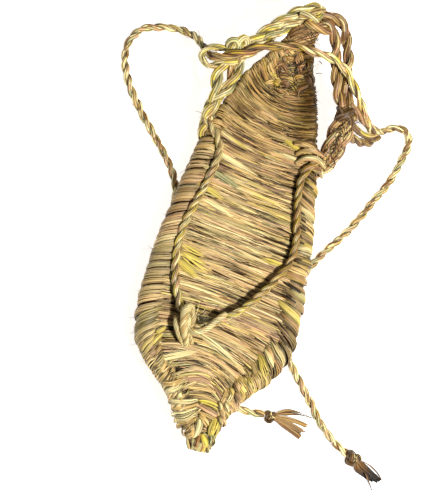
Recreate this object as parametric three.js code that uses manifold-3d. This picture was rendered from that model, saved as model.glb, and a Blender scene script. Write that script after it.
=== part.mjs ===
// A straw sandal: a thick woven sole with an upturned heel, an upper of twisted cords, and a tie cord
// that crosses the heel and ends in two knots with tassels.
// Millimetres. X runs across the foot, Y from toe to heel, Z up from the ground under the sole.

import * as THREE from "three";
import { mergeVertices } from "three/addons/utils/BufferGeometryUtils.js";
import Module from "manifold-3d";

const wasm = await Module();
wasm.setup();

// Driving dimensions
const CLEARANCE = 0.3; // gap between pieces that touch
const ROW_PITCH = 5.2; // from one raised weft row to the next
const ROW_RELIEF = 1.2; // height of a row over the groove beside it
const BED_DISH = 1.5; // how far the middle of the foot bed lies below its rims
const TOP_ROUND_START = 0.82; // share of the half width where the top edge starts to round over
const FOOT_ROUND_START = 0.42; // share of the half width where the underside lifts off the ground
const WAIST_HEIGHT = 0.64; // share of the thickness at which the sole is widest
const CUP_START = 0.42; // share of the half width where the heel cup starts to rise
const TIP_LENGTH = 3.5; // how far the rounded tips stand out past the end rows
const TIP_RING_REACH = 0.7; // place of a tip's ring, as a share of the tip's length
const TIP_RING_SIZE = 0.55; // size of a tip's ring, as a share of the end row
const TOP_EDGE_ANGLES = [40, 70, 90]; // degrees round the top edge, from the bed to the waist
const FOOT_EDGE_ANGLES = [60, 30, 0]; // degrees round the bottom edge, from the waist to the ground
const BED_PLACES = [-1, -0.5, 0, 0.5, 1]; // section points across the bed, as shares of its half width

const TOE_STRAP_SIZE = 4.3;
const TOE_LOOP_SIZE = 4.0;
const LEFT_EAR_SIZE = 5.0;
const RIGHT_EAR_SIZE = 5.6;
const HEEL_STRAP_SIZE = 5.6;
const RIGHT_EYE_SIZE = 4.0;
const TIE_SIZE = 4.4;
const STRAND_LOBE = 0.2; // how far the two plies of a strand stand out of its round section
const STRAND_SIDES = 6;
const STRAND_STEPS_PER_PLY = 3; // sections from one ply crossing to the next
const PLY_SPACING = 1.85; // distance between ply crossings, in strand sizes
const TIE_SIDES = 6;
const TIE_STEP = 2; // distance between the tie's sections, in tie sizes

const STRAW = 0xc9a566;
const PALE_STRAW = 0xd8bd7c;
const BROWN_STRAW = 0x9a7042;
const STRAW_ROUGHNESS = 0.75;

// The sole, a row for each section from toe to heel.
// left, right: edges; under: height of the underside; thick: thickness in the middle; cup: rise of the edges.
const SOLE_SECTIONS = [
  { y: -121, left: 3.5, right: 13.5, under: 14, thick: 8.5, cup: 0 },
  { y: -112, left: -5, right: 15.5, under: 11.2, thick: 11, cup: 0 },
  { y: -102, left: -15, right: 18, under: 8.6, thick: 13, cup: 0 },
  { y: -92, left: -23, right: 23, under: 6.2, thick: 14.5, cup: 0 },
  { y: -74, left: -41, right: 37.5, under: 2, thick: 16.5, cup: 0.5 },
  { y: -62, left: -48, right: 46, under: 0, thick: 17, cup: 1 },
  { y: -45, left: -50, right: 50, under: 0, thick: 17, cup: 1.5 },
  { y: -10, left: -48, right: 50.5, under: 0, thick: 17, cup: 1.5 },
  { y: 25, left: -43, right: 47, under: 0, thick: 17, cup: 1.5 },
  { y: 62, left: -36.3, right: 41.7, under: 0, thick: 17, cup: 2.5 },
  { y: 82, left: -31.3, right: 36, under: 3, thick: 16.5, cup: 5.5 },
  { y: 94, left: -27, right: 31.5, under: 7.5, thick: 15.5, cup: 7.5 },
  { y: 106, left: -22.5, right: 25.5, under: 14, thick: 14, cup: 7.5 },
  { y: 118, left: -13.5, right: 18.5, under: 22, thick: 12.5, cup: 5 },
  { y: 132, left: -4.5, right: 15.5, under: 29, thick: 9.5, cup: 1.5 },
];

// How the weft rows lie, a row for each place along the middle of the sole.
// skew: how far the right end lies towards the toe; bow: how far both ends lie towards the heel.
const WEFT_LAY = [
  { y: -118, skew: 0, bow: -2 },
  { y: -100, skew: 1, bow: -9 },
  { y: -85, skew: 2, bow: -14 },
  { y: -60, skew: 3.5, bow: -11 },
  { y: -30, skew: 4.5, bow: -3 },
  { y: 30, skew: 4.5, bow: 1 },
  { y: 75, skew: 3.5, bow: 6 },
  { y: 100, skew: 1.5, bow: 9 },
  { y: 118, skew: 0.5, bow: 6 },
  { y: 130, skew: 0, bow: 2 },
];

// The brown bundle at the tip of the heel, a row for each section.
const BINDING_SECTIONS = [
  { x: 5.5, y: 127, z: 33, halfWidth: 9.5, halfHeight: 5 },
  { x: 5.2, y: 134, z: 35.5, halfWidth: 9.2, halfHeight: 5.2 },
  { x: 6.5, y: 141, z: 37.5, halfWidth: 9.2, halfHeight: 5 },
  { x: 8.5, y: 148, z: 39, halfWidth: 8.5, halfHeight: 4.6 },
  { x: 9.5, y: 154, z: 40.5, halfWidth: 6.5, halfHeight: 4 },
];

// Routes of the cords, as points on their middle lines [x, y, z]
const TOE_STRAP_ROUTE = [
  [-38, 73.5, 16.5], [-31.5, 67.5, 20.2], [-25, 57, 20.6], [-28, 34, 20.5], [-34, 12, 20.5], [-36, -2, 20.5],
  [-35, -18, 20.6], [-31, -33, 21.7], [-25, -45, 23.8], [-19.5, -52, 24.2], [-12, -52, 24.3], [-3, -45, 24.8],
  [8, -36, 25], [18, -23, 24], [25, -12, 22.4], [31, 0, 21], [33, 13, 20.5], [31, 27, 20.4],
  [29, 42, 20.4], [30, 56, 20.6], [36, 66, 19.8], [44.5, 72.5, 16.2],
];
const TOE_LOOP_ROUTE = [
  [-17, -64, 11], [-20.5, -60.5, 22.5], [-22, -55, 28.2], [-22, -49, 28.8], [-21.5, -43.5, 24.5],
  [-19.5, -47.5, 19.5], [-16.5, -54, 18.8], [-14, -60, 16.5], [-13, -64, 11],
];
const LEFT_EAR_ROUTE = [
  [-29, 61, 9], [-37, 67.5, 13.2], [-34.5, 79, 19], [-36.5, 90, 22.5], [-38, 99, 25.5], [-36.5, 109, 27.5],
  [-35, 117, 30.5], [-32.5, 121.5, 33], [-28.5, 121.5, 33], [-26.5, 115, 30.5], [-26.5, 106, 27.5],
  [-28.5, 97, 25.5], [-33, 88, 22.8], [-38, 80, 18.5], [-36, 73.5, 15.6], [-28, 68.5, 9.6],
];
const RIGHT_EAR_ROUTE = [
  [32, 63.5, 10], [41, 70.5, 15.4], [44, 80, 18.8], [45.5, 92, 23.5], [46, 101, 26], [47, 107.5, 28],
  [50.5, 108, 28], [52, 102, 26], [51.5, 93, 23], [49.5, 81, 18], [46, 70.5, 13], [35, 60.5, 9.5],
];
const RIGHT_EYE_ROUTE = [
  [47, 100, 25.5], [56, 92, 17], [64, 91, 11], [71, 92.7, 7], [76, 96.5, 4.6], [78.5, 100, 3.6],
];
const HEEL_STRAP_ROUTE = [
  [50, 104, 27], [44, 114, 28.5], [42, 126, 31], [41, 135, 32.5], [38, 141.5, 34.5], [32.5, 148, 37.5],
  [27, 152.5, 40], [20, 154, 42], [12, 155, 43], [5, 154, 43], [-2.5, 147.5, 41.5], [-10.5, 139.5, 39],
  [-19, 129.5, 36], [-27, 120.5, 33], [-38, 116, 30], [-47.5, 113.5, 28.5], [-51, 108, 27.5],
  [-46, 103, 27.5], [-39, 105.5, 28], [-32, 110, 30], [-25, 115.5, 33], [-17.5, 124, 36],
  [-9, 135, 38.5], [-1, 143.2, 40.5], [7, 148.2, 42], [14, 147.5, 42], [20.5, 145.5, 40],
  [25, 142, 37.5], [29, 135.5, 34.5], [31, 128.5, 32.5], [33, 121.5, 31], [37, 114.5, 29.5], [46, 103, 27],
];
const TIE_CROSS_ROUTE = [
  [-44.7, 108.9, 28.8], [-43.6, 108, 32.6], [-38.8, 108.4, 36], [-31, 111.9, 38.2], [-18.4, 119.3, 40.2],
  [-8.6, 123.4, 41.5], [4, 126.4, 42.6], [15, 126.4, 42.2], [25, 127.2, 40.2], [32, 125.9, 38.4],
  [38.5, 123, 36.8], [43.8, 118.6, 35.3], [49, 112.5, 34], [55, 106.8, 30], [64, 102, 20], [71, 101.4, 12],
  [75.5, 102, 8.4],
];
const TIE_LEFT_ROUTE = [
  [-44.7, 109.2, 28.3], [-45.2, 110.8, 24.2], [-47.5, 114.5, 20.4], [-51.5, 119.8, 16.6], [-56, 124.6, 11.4],
  [-61.5, 127.6, 6.2], [-68, 128, 3.2], [-76, 126.3, 2.3], [-86, 121.5, 2.3], [-92, 112.5, 2.3],
  [-92.5, 101, 2.3], [-87, 87, 2.3], [-75, 71, 2.3], [-61, 56, 2.3], [-49.5, 43, 2.3], [-42, 29, 2.3],
  [-40, 15, 2.3], [-41.2, 0, 2.3], [-42.6, -15, 2.3], [-43.6, -30, 2.3], [-44, -44, 2.3],
  [-43.2, -57, 2.3], [-37.8, -69, 2.3], [-28, -80.5, 2.3], [-16, -89.5, 2.3], [-2, -95, 2.3], [12, -95, 2.3],
  [24, -92, 2.3], [35, -91.3, 2.3], [44, -91.2, 2.6],
];
const TIE_RIGHT_ROUTE = [
  [76, 102.2, 7.9], [79.3, 103.6, 5.2], [83, 106.3, 3.2], [89, 110.2, 2.3], [95.5, 111.3, 2.3],
  [100.2, 107.8, 2.3], [101.2, 101.5, 2.3], [99.5, 93.5, 2.3], [96.5, 83, 2.3], [92, 71, 2.3],
  [84, 56, 2.3], [74, 37, 2.3], [63, 21, 2.3], [53, 5.5, 2.3], [47.3, -10, 2.3], [46.2, -25, 2.3],
  [45.8, -38, 2.3], [48.8, -50, 2.3], [60, -63.5, 2.3], [71.5, -76.5, 2.3], [82.5, -89, 2.3],
  [92.5, -97, 2.3], [101.5, -101.8, 2.7],
];

// Knots and tassels at the ends of the ties. heading: which way the cord runs there, in degrees from +X.
const TIE_ENDS = [
  { side: "left", x: 47.5, y: -91, z: 3.4, heading: -6, knot: 7, length: 23, spread: 30, locks: 4 },
  { side: "right", x: 105.6, y: -104, z: 4.3, heading: -27, knot: 9, length: 22, spread: 24, locks: 6 },
];
const KNOT_RELIEF = 0.14; // how far the knot's turns stand out, in knot radii
const KNOT_TURNS = 3;
const KNOT_FACES = { around: 10, along: 7 };
const LOCK_ROOT_SIZE = 3.2;
const LOCK_TIP_SIZE = 1.1;
const LOCK_STEPS = 4;
const LOCK_GATHER = 0.3; // share of the fan that a lock has where it leaves the knot
const LOCK_PLACES = [0.1, 0.45, 0.75, 1]; // places of a lock's points, as shares of its reach
const BINDING_SIDES = 12;
const BINDING_TIP = 2; // how far the end of the binding bulges

// Column of a table at a place along the foot, through its rows without overshoot
function columnAt(rows, column, y) {
  const last = rows.length - 1;
  if (y <= rows[0].y) return rows[0][column];
  if (y >= rows[last].y) return rows[last][column];
  const slopeOf = (i) => (rows[i + 1][column] - rows[i][column]) / (rows[i + 1].y - rows[i].y);
  const tangentAt = (i) => {
    if (i === 0) return slopeOf(0);
    if (i === last) return slopeOf(last - 1);
    const before = slopeOf(i - 1);
    const after = slopeOf(i);
    return before * after > 0 ? (2 * before * after) / (before + after) : 0;
  };
  let i = 0;
  while (y > rows[i + 1].y) i += 1;
  const span = rows[i + 1].y - rows[i].y;
  const t = (y - rows[i].y) / span;
  const stay = 1 - t;
  return (
    rows[i][column] * (1 + 2 * t) * stay * stay +
    tangentAt(i) * span * t * stay * stay +
    rows[i + 1][column] * t * t * (3 - 2 * t) -
    tangentAt(i + 1) * span * t * t * stay
  );
}

// Closed skin over a list of rings with equally many points, capped from a middle point at each end.
// Rings run clockwise seen along the direction in which they follow each other.
function skinOverRings(rings, startPoint, endPoint) {
  const count = rings[0].length;
  const points = [...rings.flat(), startPoint, endPoint];
  const startIndex = points.length - 2;
  const endIndex = points.length - 1;
  const lastRing = (rings.length - 1) * count;
  const triangles = [];
  for (let j = 0; j < count; j += 1) {
    const k = (j + 1) % count;
    for (let i = 0; i < lastRing; i += count) {
      triangles.push(i + j, i + k, i + count + j, i + k, i + count + k, i + count + j);
    }
    triangles.push(startIndex, k, j, endIndex, lastRing + j, lastRing + k);
  }
  const geometry = new THREE.BufferGeometry();
  geometry.setAttribute("position", new THREE.Float32BufferAttribute(points.flatMap((p) => p.toArray()), 3));
  geometry.setIndex(triangles);
  return geometry;
}

// Closed geometry as a solid that can be joined and cut, and back
function solidOf(geometry) {
  const bare = geometry.clone();
  bare.deleteAttribute("normal");
  bare.deleteAttribute("uv");
  const merged = mergeVertices(bare);
  return new wasm.Manifold(
    new wasm.Mesh({
      numProp: 3,
      vertProperties: new Float32Array(merged.attributes.position.array),
      triVerts: new Uint32Array(merged.index.array),
    })
  );
}

function geometryOf(solid) {
  const mesh = solid.getMesh();
  const geometry = new THREE.BufferGeometry();
  geometry.setAttribute("position", new THREE.BufferAttribute(mesh.vertProperties, 3));
  geometry.setIndex(new THREE.BufferAttribute(mesh.triVerts, 1));
  return geometry;
}

// Points of one section of the sole, over the top from left to right and back underneath.
// across: place on the half width; fall: share of the drop to the waist; lean: angle that faces outward.
function soleSectionShape() {
  const bedPoint = (share) => ({ top: true, across: share * TOP_ROUND_START, fall: 0, lean: 0, relief: 1 });
  const edgePoint = (top, degrees, side) => {
    const angle = THREE.MathUtils.degToRad(degrees);
    const start = top ? TOP_ROUND_START : FOOT_ROUND_START;
    return {
      top,
      across: side * (start + (1 - start) * Math.sin(angle)),
      fall: 1 - Math.cos(angle),
      lean: side * (top ? angle : Math.PI - angle),
      relief: top ? 1 : Math.max(0, Math.sin(angle) - Math.SQRT1_2),
    };
  };
  const edge = (side) => [
    ...TOP_EDGE_ANGLES.map((degrees) => edgePoint(true, degrees, side)),
    ...FOOT_EDGE_ANGLES.map((degrees) => edgePoint(false, degrees, side)),
  ];
  return [...BED_PLACES.map(bedPoint), ...edge(1), ...edge(-1).reverse()];
}

// The woven sole, with a raised ring for each weft row and a groove between rows
function soleGeometry(rowRelief, grow = 0) {
  const shape = soleSectionShape();
  const lay = (column, y) => columnAt(WEFT_LAY, column, y);
  const sole = (column, y) => columnAt(SOLE_SECTIONS, column, y);
  const firstRow = WEFT_LAY[0].y;
  const lastRow = WEFT_LAY[WEFT_LAY.length - 1].y;
  const halfRows = 2 * Math.round((lastRow - firstRow) / ROW_PITCH);
  const ringAt = (row, height) => {
    const skew = lay("skew", row);
    const bow = lay("bow", row);
    const along = (across) => row - skew * across + bow * across * across;
    const left = sole("left", along(-1));
    const right = sole("right", along(1));
    return shape.map(({ top, across, fall, lean, relief }) => {
      const y = along(across);
      const reach = Math.abs(across);
      const thick = sole("thick", y);
      const waist = thick * WAIST_HEIGHT;
      const rise = sole("cup", y) * (Math.max(0, reach - CUP_START) / (1 - CUP_START)) ** 2;
      const dish = BED_DISH * Math.max(0, 1 - (reach / TOP_ROUND_START) ** 2);
      const z = sole("under", y) + rise + (top ? thick - dish - (thick - waist) * fall : waist * fall);
      const out = grow + height * relief;
      const x = (left + right) / 2 + ((right - left) / 2) * across;
      return new THREE.Vector3(x + out * Math.sin(lean), y, z + out * Math.cos(lean));
    });
  };
  const rings = [];
  for (let i = 0; i <= halfRows; i += 1) {
    const height = i % 2 === 0 ? -rowRelief / 2 : rowRelief / 2;
    rings.push(ringAt(firstRow + ((lastRow - firstRow) * i) / halfRows, height));
  }
  const middleOf = (ring) => {
    const sum = ring.reduce((total, p) => total.add(p), new THREE.Vector3());
    return sum.divideScalar(ring.length);
  };
  const tipOf = (ring, way) => {
    const middle = middleOf(ring);
    const shift = new THREE.Vector3(0, way * TIP_LENGTH * TIP_RING_REACH, 0);
    return ring.map((p) => p.clone().sub(middle).multiplyScalar(TIP_RING_SIZE).add(middle).add(shift));
  };
  const toe = rings[0];
  const heel = rings[rings.length - 1];
  const toePoint = middleOf(toe).add(new THREE.Vector3(0, -TIP_LENGTH - grow, 0));
  const heelPoint = middleOf(heel).add(new THREE.Vector3(0, TIP_LENGTH + grow, 0));
  return skinOverRings([tipOf(toe, -1), ...rings, tipOf(heel, 1)], toePoint, heelPoint);
}

function curveThrough(route) {
  return new THREE.CatmullRomCurve3(route.map((p) => new THREE.Vector3(...p)), false, "centripetal");
}

// Section rings swept along a curve, with a radius for each share of the length and angle
function sweptRings(curve, steps, sides, radiusAt) {
  const frames = curve.computeFrenetFrames(steps, false);
  const rings = [];
  for (let i = 0; i <= steps; i += 1) {
    const middle = curve.getPointAt(i / steps);
    const ring = [];
    for (let j = 0; j < sides; j += 1) {
      const angle = (2 * Math.PI * j) / sides;
      const { radius, turn } = radiusAt(i / steps, angle);
      const out = frames.normals[i].clone().multiplyScalar(Math.cos(angle + turn));
      out.addScaledVector(frames.binormals[i], Math.sin(angle + turn));
      ring.push(middle.clone().addScaledVector(out, radius));
    }
    rings.push(ring);
  }
  return rings;
}

// Strand of two twisted plies along a route, joined from two halves because a doubled strand crosses itself
function strandSolid(route, size, grow = 0) {
  const curve = curveThrough(route);
  const length = curve.getLength();
  const plies = length / (size * PLY_SPACING);
  const steps = Math.round(plies * STRAND_STEPS_PER_PLY);
  const radiusAt = (share, angle) => ({
    radius: (size / 2) * (1 + STRAND_LOBE * Math.cos(2 * angle)) + grow,
    turn: Math.PI * plies * share,
  });
  const rings = sweptRings(curve, steps, STRAND_SIDES, radiusAt);
  const stretchOf = (from, to) => {
    const ends = [from, to].map((step) => curve.getPointAt(step / steps));
    return solidOf(skinOverRings(rings.slice(from, to + 1), ...ends));
  };
  const middle = Math.round(steps / 2);
  return stretchOf(0, middle).add(stretchOf(middle, steps));
}

// Plain round cord along a route
function tieGeometry(route, grow = 0) {
  const curve = curveThrough(route);
  const section = new THREE.Shape();
  for (let j = 0; j < TIE_SIDES; j += 1) {
    const angle = (2 * Math.PI * (j + 0.5)) / TIE_SIDES;
    const radius = TIE_SIZE / 2 + grow;
    const point = [radius * Math.cos(angle), radius * Math.sin(angle)];
    if (j === 0) section.moveTo(...point);
    else section.lineTo(...point);
  }
  section.closePath();
  const steps = Math.round(curve.getLength() / (TIE_SIZE * TIE_STEP));
  return new THREE.ExtrudeGeometry(section, { steps, extrudePath: curve });
}

// Bundle at the heel tip, lofted through its sections
function bindingSolid() {
  const rings = BINDING_SECTIONS.map(({ x, y, z, halfWidth, halfHeight }) => {
    const ring = [];
    for (let j = 0; j < BINDING_SIDES; j += 1) {
      const angle = (2 * Math.PI * j) / BINDING_SIDES;
      ring.push(new THREE.Vector3(x + halfWidth * Math.sin(angle), y, z + halfHeight * Math.cos(angle)));
    }
    return ring;
  });
  const first = BINDING_SECTIONS[0];
  const last = BINDING_SECTIONS[BINDING_SECTIONS.length - 1];
  const startPoint = new THREE.Vector3(first.x, first.y, first.z);
  const endPoint = new THREE.Vector3(last.x, last.y + BINDING_TIP, last.z);
  return solidOf(skinOverRings(rings, startPoint, endPoint));
}

// Round knot whose turns stand out as slanting ridges
function knotSolid({ x, y, z, heading, knot }, grow = 0) {
  const geometry = new THREE.SphereGeometry(knot / 2, KNOT_FACES.around, KNOT_FACES.along);
  const place = geometry.attributes.position;
  const point = new THREE.Vector3();
  for (let i = 0; i < place.count; i += 1) {
    point.fromBufferAttribute(place, i);
    const around = Math.atan2(point.z, point.x);
    const climb = point.y / knot;
    const ridge = Math.cos(around * KNOT_TURNS + climb * Math.PI) * (1 - 4 * climb * climb);
    const size = 1 + KNOT_RELIEF * ridge + (2 * grow) / knot;
    point.set(point.x * size, point.y * size, Math.max(point.z * size, -z));
    place.setXYZ(i, point.x, point.y, point.z);
  }
  geometry.rotateZ(THREE.MathUtils.degToRad(heading));
  geometry.translate(x, y, z);
  return solidOf(geometry);
}

// Locks of straw that fan out behind a knot and lie down on the ground
function tasselSolid({ x, y, z, heading, knot, length, spread, locks }) {
  const reach = knot / 2 + length;
  const low = LOCK_ROOT_SIZE / 2;
  const radiusAt = (share) => ({
    radius: THREE.MathUtils.lerp(LOCK_ROOT_SIZE, LOCK_TIP_SIZE, share * share) / 2,
    turn: 0,
  });
  const lockSolid = (i) => {
    const fan = i / (locks - 1) - 0.5;
    const startWay = heading + fan * spread * LOCK_GATHER;
    const endWay = heading + fan * spread;
    const lift = i % 2 === 0 ? 0 : low;
    const heights = [z, low + lift, low + lift / 2, LOCK_TIP_SIZE];
    const ways = [startWay, startWay, endWay, endWay];
    const route = LOCK_PLACES.map((place, step) => {
      const way = THREE.MathUtils.degToRad(ways[step]);
      return [x + place * reach * Math.cos(way), y + place * reach * Math.sin(way), heights[step]];
    });
    const curve = curveThrough(route);
    const rings = sweptRings(curve, LOCK_STEPS, STRAND_SIDES, radiusAt);
    return solidOf(skinOverRings(rings, curve.getPointAt(0), curve.getPointAt(1)));
  };
  return Array.from({ length: locks }, (_, i) => lockSolid(i)).reduce((whole, lock) => whole.add(lock));
}

// Sandal made of its pieces
const sandal = new THREE.Group();

function addPiece(name, geometry, color) {
  geometry.computeVertexNormals();
  const material = new THREE.MeshStandardMaterial({ color, roughness: STRAW_ROUGHNESS, metalness: 0 });
  const mesh = new THREE.Mesh(geometry, material);
  mesh.name = name;
  sandal.add(mesh);
}

const soleRoom = solidOf(soleGeometry(0, ROW_RELIEF / 2 + CLEARANCE));
const tieRoutes = { tie_cross: TIE_CROSS_ROUTE, tie_left: TIE_LEFT_ROUTE, tie_right: TIE_RIGHT_ROUTE };
const tieRooms = Object.values(tieRoutes).map((route) => solidOf(tieGeometry(route, CLEARANCE)));
const toeLoopRoom = strandSolid(TOE_LOOP_ROUTE, TOE_LOOP_SIZE, CLEARANCE);
const heelStrapRoom = strandSolid(HEEL_STRAP_ROUTE, HEEL_STRAP_SIZE, CLEARANCE);
const cutAway = (solid, rooms) => rooms.reduce((rest, room) => rest.subtract(room), solid);

addPiece("sole", soleGeometry(ROW_RELIEF), STRAW);

const toeLoop = strandSolid(TOE_LOOP_ROUTE, TOE_LOOP_SIZE);
addPiece("toe_loop", geometryOf(cutAway(toeLoop, [soleRoom])), PALE_STRAW);

const upperStrands = [
  [TOE_STRAP_ROUTE, TOE_STRAP_SIZE],
  [LEFT_EAR_ROUTE, LEFT_EAR_SIZE],
  [RIGHT_EAR_ROUTE, RIGHT_EAR_SIZE],
  [RIGHT_EYE_ROUTE, RIGHT_EYE_SIZE],
  [HEEL_STRAP_ROUTE, HEEL_STRAP_SIZE],
].map(([route, size]) => strandSolid(route, size));
const upper = upperStrands.reduce((whole, strand) => whole.add(strand));
addPiece("upper", geometryOf(cutAway(upper, [soleRoom, toeLoopRoom, ...tieRooms])), PALE_STRAW);

const heelBinding = cutAway(bindingSolid(), [soleRoom, heelStrapRoom, ...tieRooms]);
addPiece("heel_binding", geometryOf(heelBinding), BROWN_STRAW);

for (const [name, route] of Object.entries(tieRoutes)) {
  addPiece(name, tieGeometry(route), STRAW);
}

for (const end of TIE_ENDS) {
  const knotRoom = knotSolid(end, CLEARANCE);
  addPiece(`knot_${end.side}`, geometryOf(cutAway(knotSolid(end), tieRooms)), STRAW);
  addPiece(`tassel_${end.side}`, geometryOf(cutAway(tasselSolid(end), [knotRoom, ...tieRooms])), BROWN_STRAW);
}

export default sandal;
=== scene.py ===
"""Straw sandal: a woven sole, twisted straps, a bound heel and a tie cord, laid up straw by straw."""

import bpy
import numpy as np
from mathutils import Matrix, Vector


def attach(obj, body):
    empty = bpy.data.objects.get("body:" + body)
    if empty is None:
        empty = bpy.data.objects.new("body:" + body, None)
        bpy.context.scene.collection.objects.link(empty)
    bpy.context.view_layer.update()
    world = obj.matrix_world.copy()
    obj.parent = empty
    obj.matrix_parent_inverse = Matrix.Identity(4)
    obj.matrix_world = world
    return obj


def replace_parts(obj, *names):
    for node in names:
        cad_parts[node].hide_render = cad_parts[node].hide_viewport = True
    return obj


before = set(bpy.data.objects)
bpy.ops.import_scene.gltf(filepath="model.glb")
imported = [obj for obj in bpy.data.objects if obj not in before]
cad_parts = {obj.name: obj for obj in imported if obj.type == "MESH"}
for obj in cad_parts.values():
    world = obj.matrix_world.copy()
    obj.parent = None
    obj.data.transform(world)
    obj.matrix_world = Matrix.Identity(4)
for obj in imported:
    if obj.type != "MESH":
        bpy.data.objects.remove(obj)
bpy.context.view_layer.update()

bl_info = {
    "name": "Straw sandal",
    "version": (1, 0, 0),
    "blender": (4, 5, 0),
    "location": "View3D > Sidebar > Sandal",
    "description": "Lays up a woven straw sandal on its packed frame",
    "category": "Object",
}

MM = 0.001
SEED = 11

# Sole sections from toe to heel in millimetres: y, left, right, under, thick, cup
SOLE_SECTIONS = np.array([
    (-121, 1, 9.8, 14, 8.5, 0),
    (-112, -5.5, 12.8, 11.2, 11, 0),
    (-102, -15, 15.8, 8.6, 13, 0),
    (-92, -23, 21.5, 6.2, 14.5, 0),
    (-74, -41, 36.5, 2, 16.5, 0.5),
    (-62, -48, 45, 0, 17, 1),
    (-45, -50, 49.6, 0, 17, 1.5),
    (-10, -48, 49, 0, 17, 1.5),
    (25, -43, 45, 0, 17, 1.5),
    (62, -36.3, 39.7, 0, 17, 2.5),
    (82, -31.3, 34, 3, 16.5, 5.5),
    (94, -27, 29.4, 7.5, 15.5, 7.5),
    (106, -22.5, 23.6, 14, 14, 7.5),
    (118, -13.5, 17, 22, 12.5, 5),
    (132, -4.5, 14.5, 29, 9.5, 1.5),
])
LEFT, RIGHT, UNDER, THICK, CUP = 1, 2, 3, 4, 5
# Lie of the weft rows in millimetres: y, skew, bow
WEFT_LAY = np.array([
    (-118, 0, -2),
    (-100, 1, -9),
    (-85, 2, -14),
    (-60, 3.5, -11),
    (-30, 4.5, -3),
    (30, 4.5, 1),
    (70, 4, 4),
    (92, 4.5, 6),
    (108, 4, 6.5),
    (120, 2, 5),
    (130, 0, 2),
])
SKEW, BOW = 1, 2
# Shape of a section: hollow of the bed and length of the tips in millimetres, the rest as shares of the
# section's half width and thickness
BED_DISH = 1.5
TOP_ROUND_START = 0.82
FOOT_ROUND_START = 0.42
WAIST_HEIGHT = 0.64
CUP_START = 0.42
TIP_LENGTH = 3.5
# Shares of the way round a section: 1 is the widest line, 2 the middle of the underside
BED_REACH = 0.8
FOOT_REACH = 1.6
UNDERSIDE = 2.0

# Brown bundle at the heel tip: x, y, z, half width, half height
BINDING_SECTIONS = np.array([
    (5.5, 127, 33, 9.5, 5),
    (5.2, 134, 35.5, 9.2, 5.2),
    (6.5, 141, 37.5, 9.2, 5),
    (8.5, 148, 39, 8.5, 4.6),
    (9.5, 154, 40.5, 6.5, 4),
])

# Middle lines of the cords in millimetres
TOE_STRAP = [
    (-38, 73.5, 16.5), (-31.5, 67.5, 19.6), (-25, 57, 19.5), (-28, 34, 19.3), (-34, 12, 19.2),
    (-36, -2, 19.2), (-35, -18, 19.3), (-31, -33, 20.6), (-25, -45, 23.2), (-19.5, -52, 23.6),
    (-12, -52, 23.6), (-1.8, -45, 23.8), (9.6, -36, 23.8), (19.8, -23, 22.8), (27, -12, 21.4),
    (33.2, 0, 20.4), (35, 13, 20.5), (32.6, 27, 20.4), (30, 42, 20.4), (30, 56, 20.6), (36, 66, 19.8),
    (44.5, 72.5, 16.2),
]
LEFT_EAR = [
    (-29, 61, 9), (-37, 67.5, 13.2), (-34.5, 79, 19), (-36.5, 90, 22.5), (-38, 99, 25.5), (-36.8, 107, 27.8),
    (-35.6, 114, 32), (-36.2, 117.6, 35), (-34.5, 118.8, 35.6), (-32.4, 116.6, 33.4), (-30.6, 113, 29),
]
LEFT_EAR_BACK = [
    (-25.8, 117, 30), (-27.6, 121.2, 34), (-30.4, 122.3, 36), (-31.4, 119.8, 35.6), (-29.3, 114.6, 32),
    (-27.4, 109, 28.6), (-28.3, 98, 25.5), (-33, 88, 22.8), (-38, 80, 18.5), (-36, 73.5, 15.6),
    (-28, 68.5, 9.6),
]
EAR_MIDDLE = [(-33.9, 109, 29), (-30.4, 102.1, 27.2), (-30.4, 95, 24.6), (-32.8, 88.5, 22), (-35, 82, 18.5)]
RIGHT_EYE = [
    (48, 95, 26), (51, 90.6, 23.5), (57.6, 89.4, 18), (64.7, 90.4, 12), (70.8, 92.9, 8), (75.5, 96.7, 5.2),
    (78.3, 101.2, 4),
]
TIE_CROSS = [
    (-44.7, 108.9, 28.8), (-43.6, 108, 32.6), (-38.8, 108.4, 36), (-31, 111.9, 38.2),
    (-18.4, 119.3, 40.2), (-8.6, 123.4, 41.5), (4, 126.4, 42.6), (15, 126.4, 42.2), (25, 127.2, 40.2),
    (32, 125.9, 38.4), (38.5, 123, 36.8), (43.8, 118.6, 35.3), (49, 112.5, 34), (55, 106.8, 30),
    (64, 102, 20), (71, 101.4, 12), (75.5, 102, 8.4),
]
TIE_LEFT = [
    (-44.7, 109.2, 28.3), (-45.2, 110.8, 24.2), (-47.5, 114.5, 20.4), (-51.5, 119.8, 16.6),
    (-56, 124.6, 11.4), (-61.5, 127.6, 6.2), (-68, 128, 3.2), (-76, 126.3, 2.3), (-86, 121.5, 2.3),
    (-92, 112.5, 2.3), (-92.5, 101, 2.3), (-87, 87, 2.3), (-75, 71, 2.3), (-61, 56, 2.3),
    (-49.5, 43, 2.3), (-42, 29, 2.3), (-40, 15, 2.3), (-41.2, 0, 2.3), (-42.6, -15, 2.3),
    (-43.6, -30, 2.3), (-44, -44, 2.3), (-43.2, -57, 2.3), (-37.8, -69, 2.3), (-28, -80.5, 2.3),
    (-16, -89.5, 2.3), (-2, -95, 2.3), (12, -95, 2.3), (24, -92, 2.3), (35, -91.3, 2.3), (44, -91.2, 2.6),
]
TIE_RIGHT = [
    (76, 102.2, 7.9), (79.3, 103.6, 5.2), (83, 106.3, 3.2), (89, 110.2, 2.3), (95.5, 111.3, 2.3),
    (100.2, 107.8, 2.3), (101.2, 101.5, 2.3), (99.5, 93.5, 2.3), (96.5, 83, 2.3), (92, 71, 2.3),
    (84, 56, 2.3), (74, 37, 2.3), (63, 21, 2.3), (53, 5.5, 2.3), (47.3, -10, 2.3), (46.2, -25, 2.3),
    (45.8, -38, 2.3), (48.8, -50, 2.3), (60, -63.5, 2.3), (71.5, -76.5, 2.3), (82.5, -89, 2.3),
    (92.5, -97, 2.3), (101.5, -101.8, 2.7),
]
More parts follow.
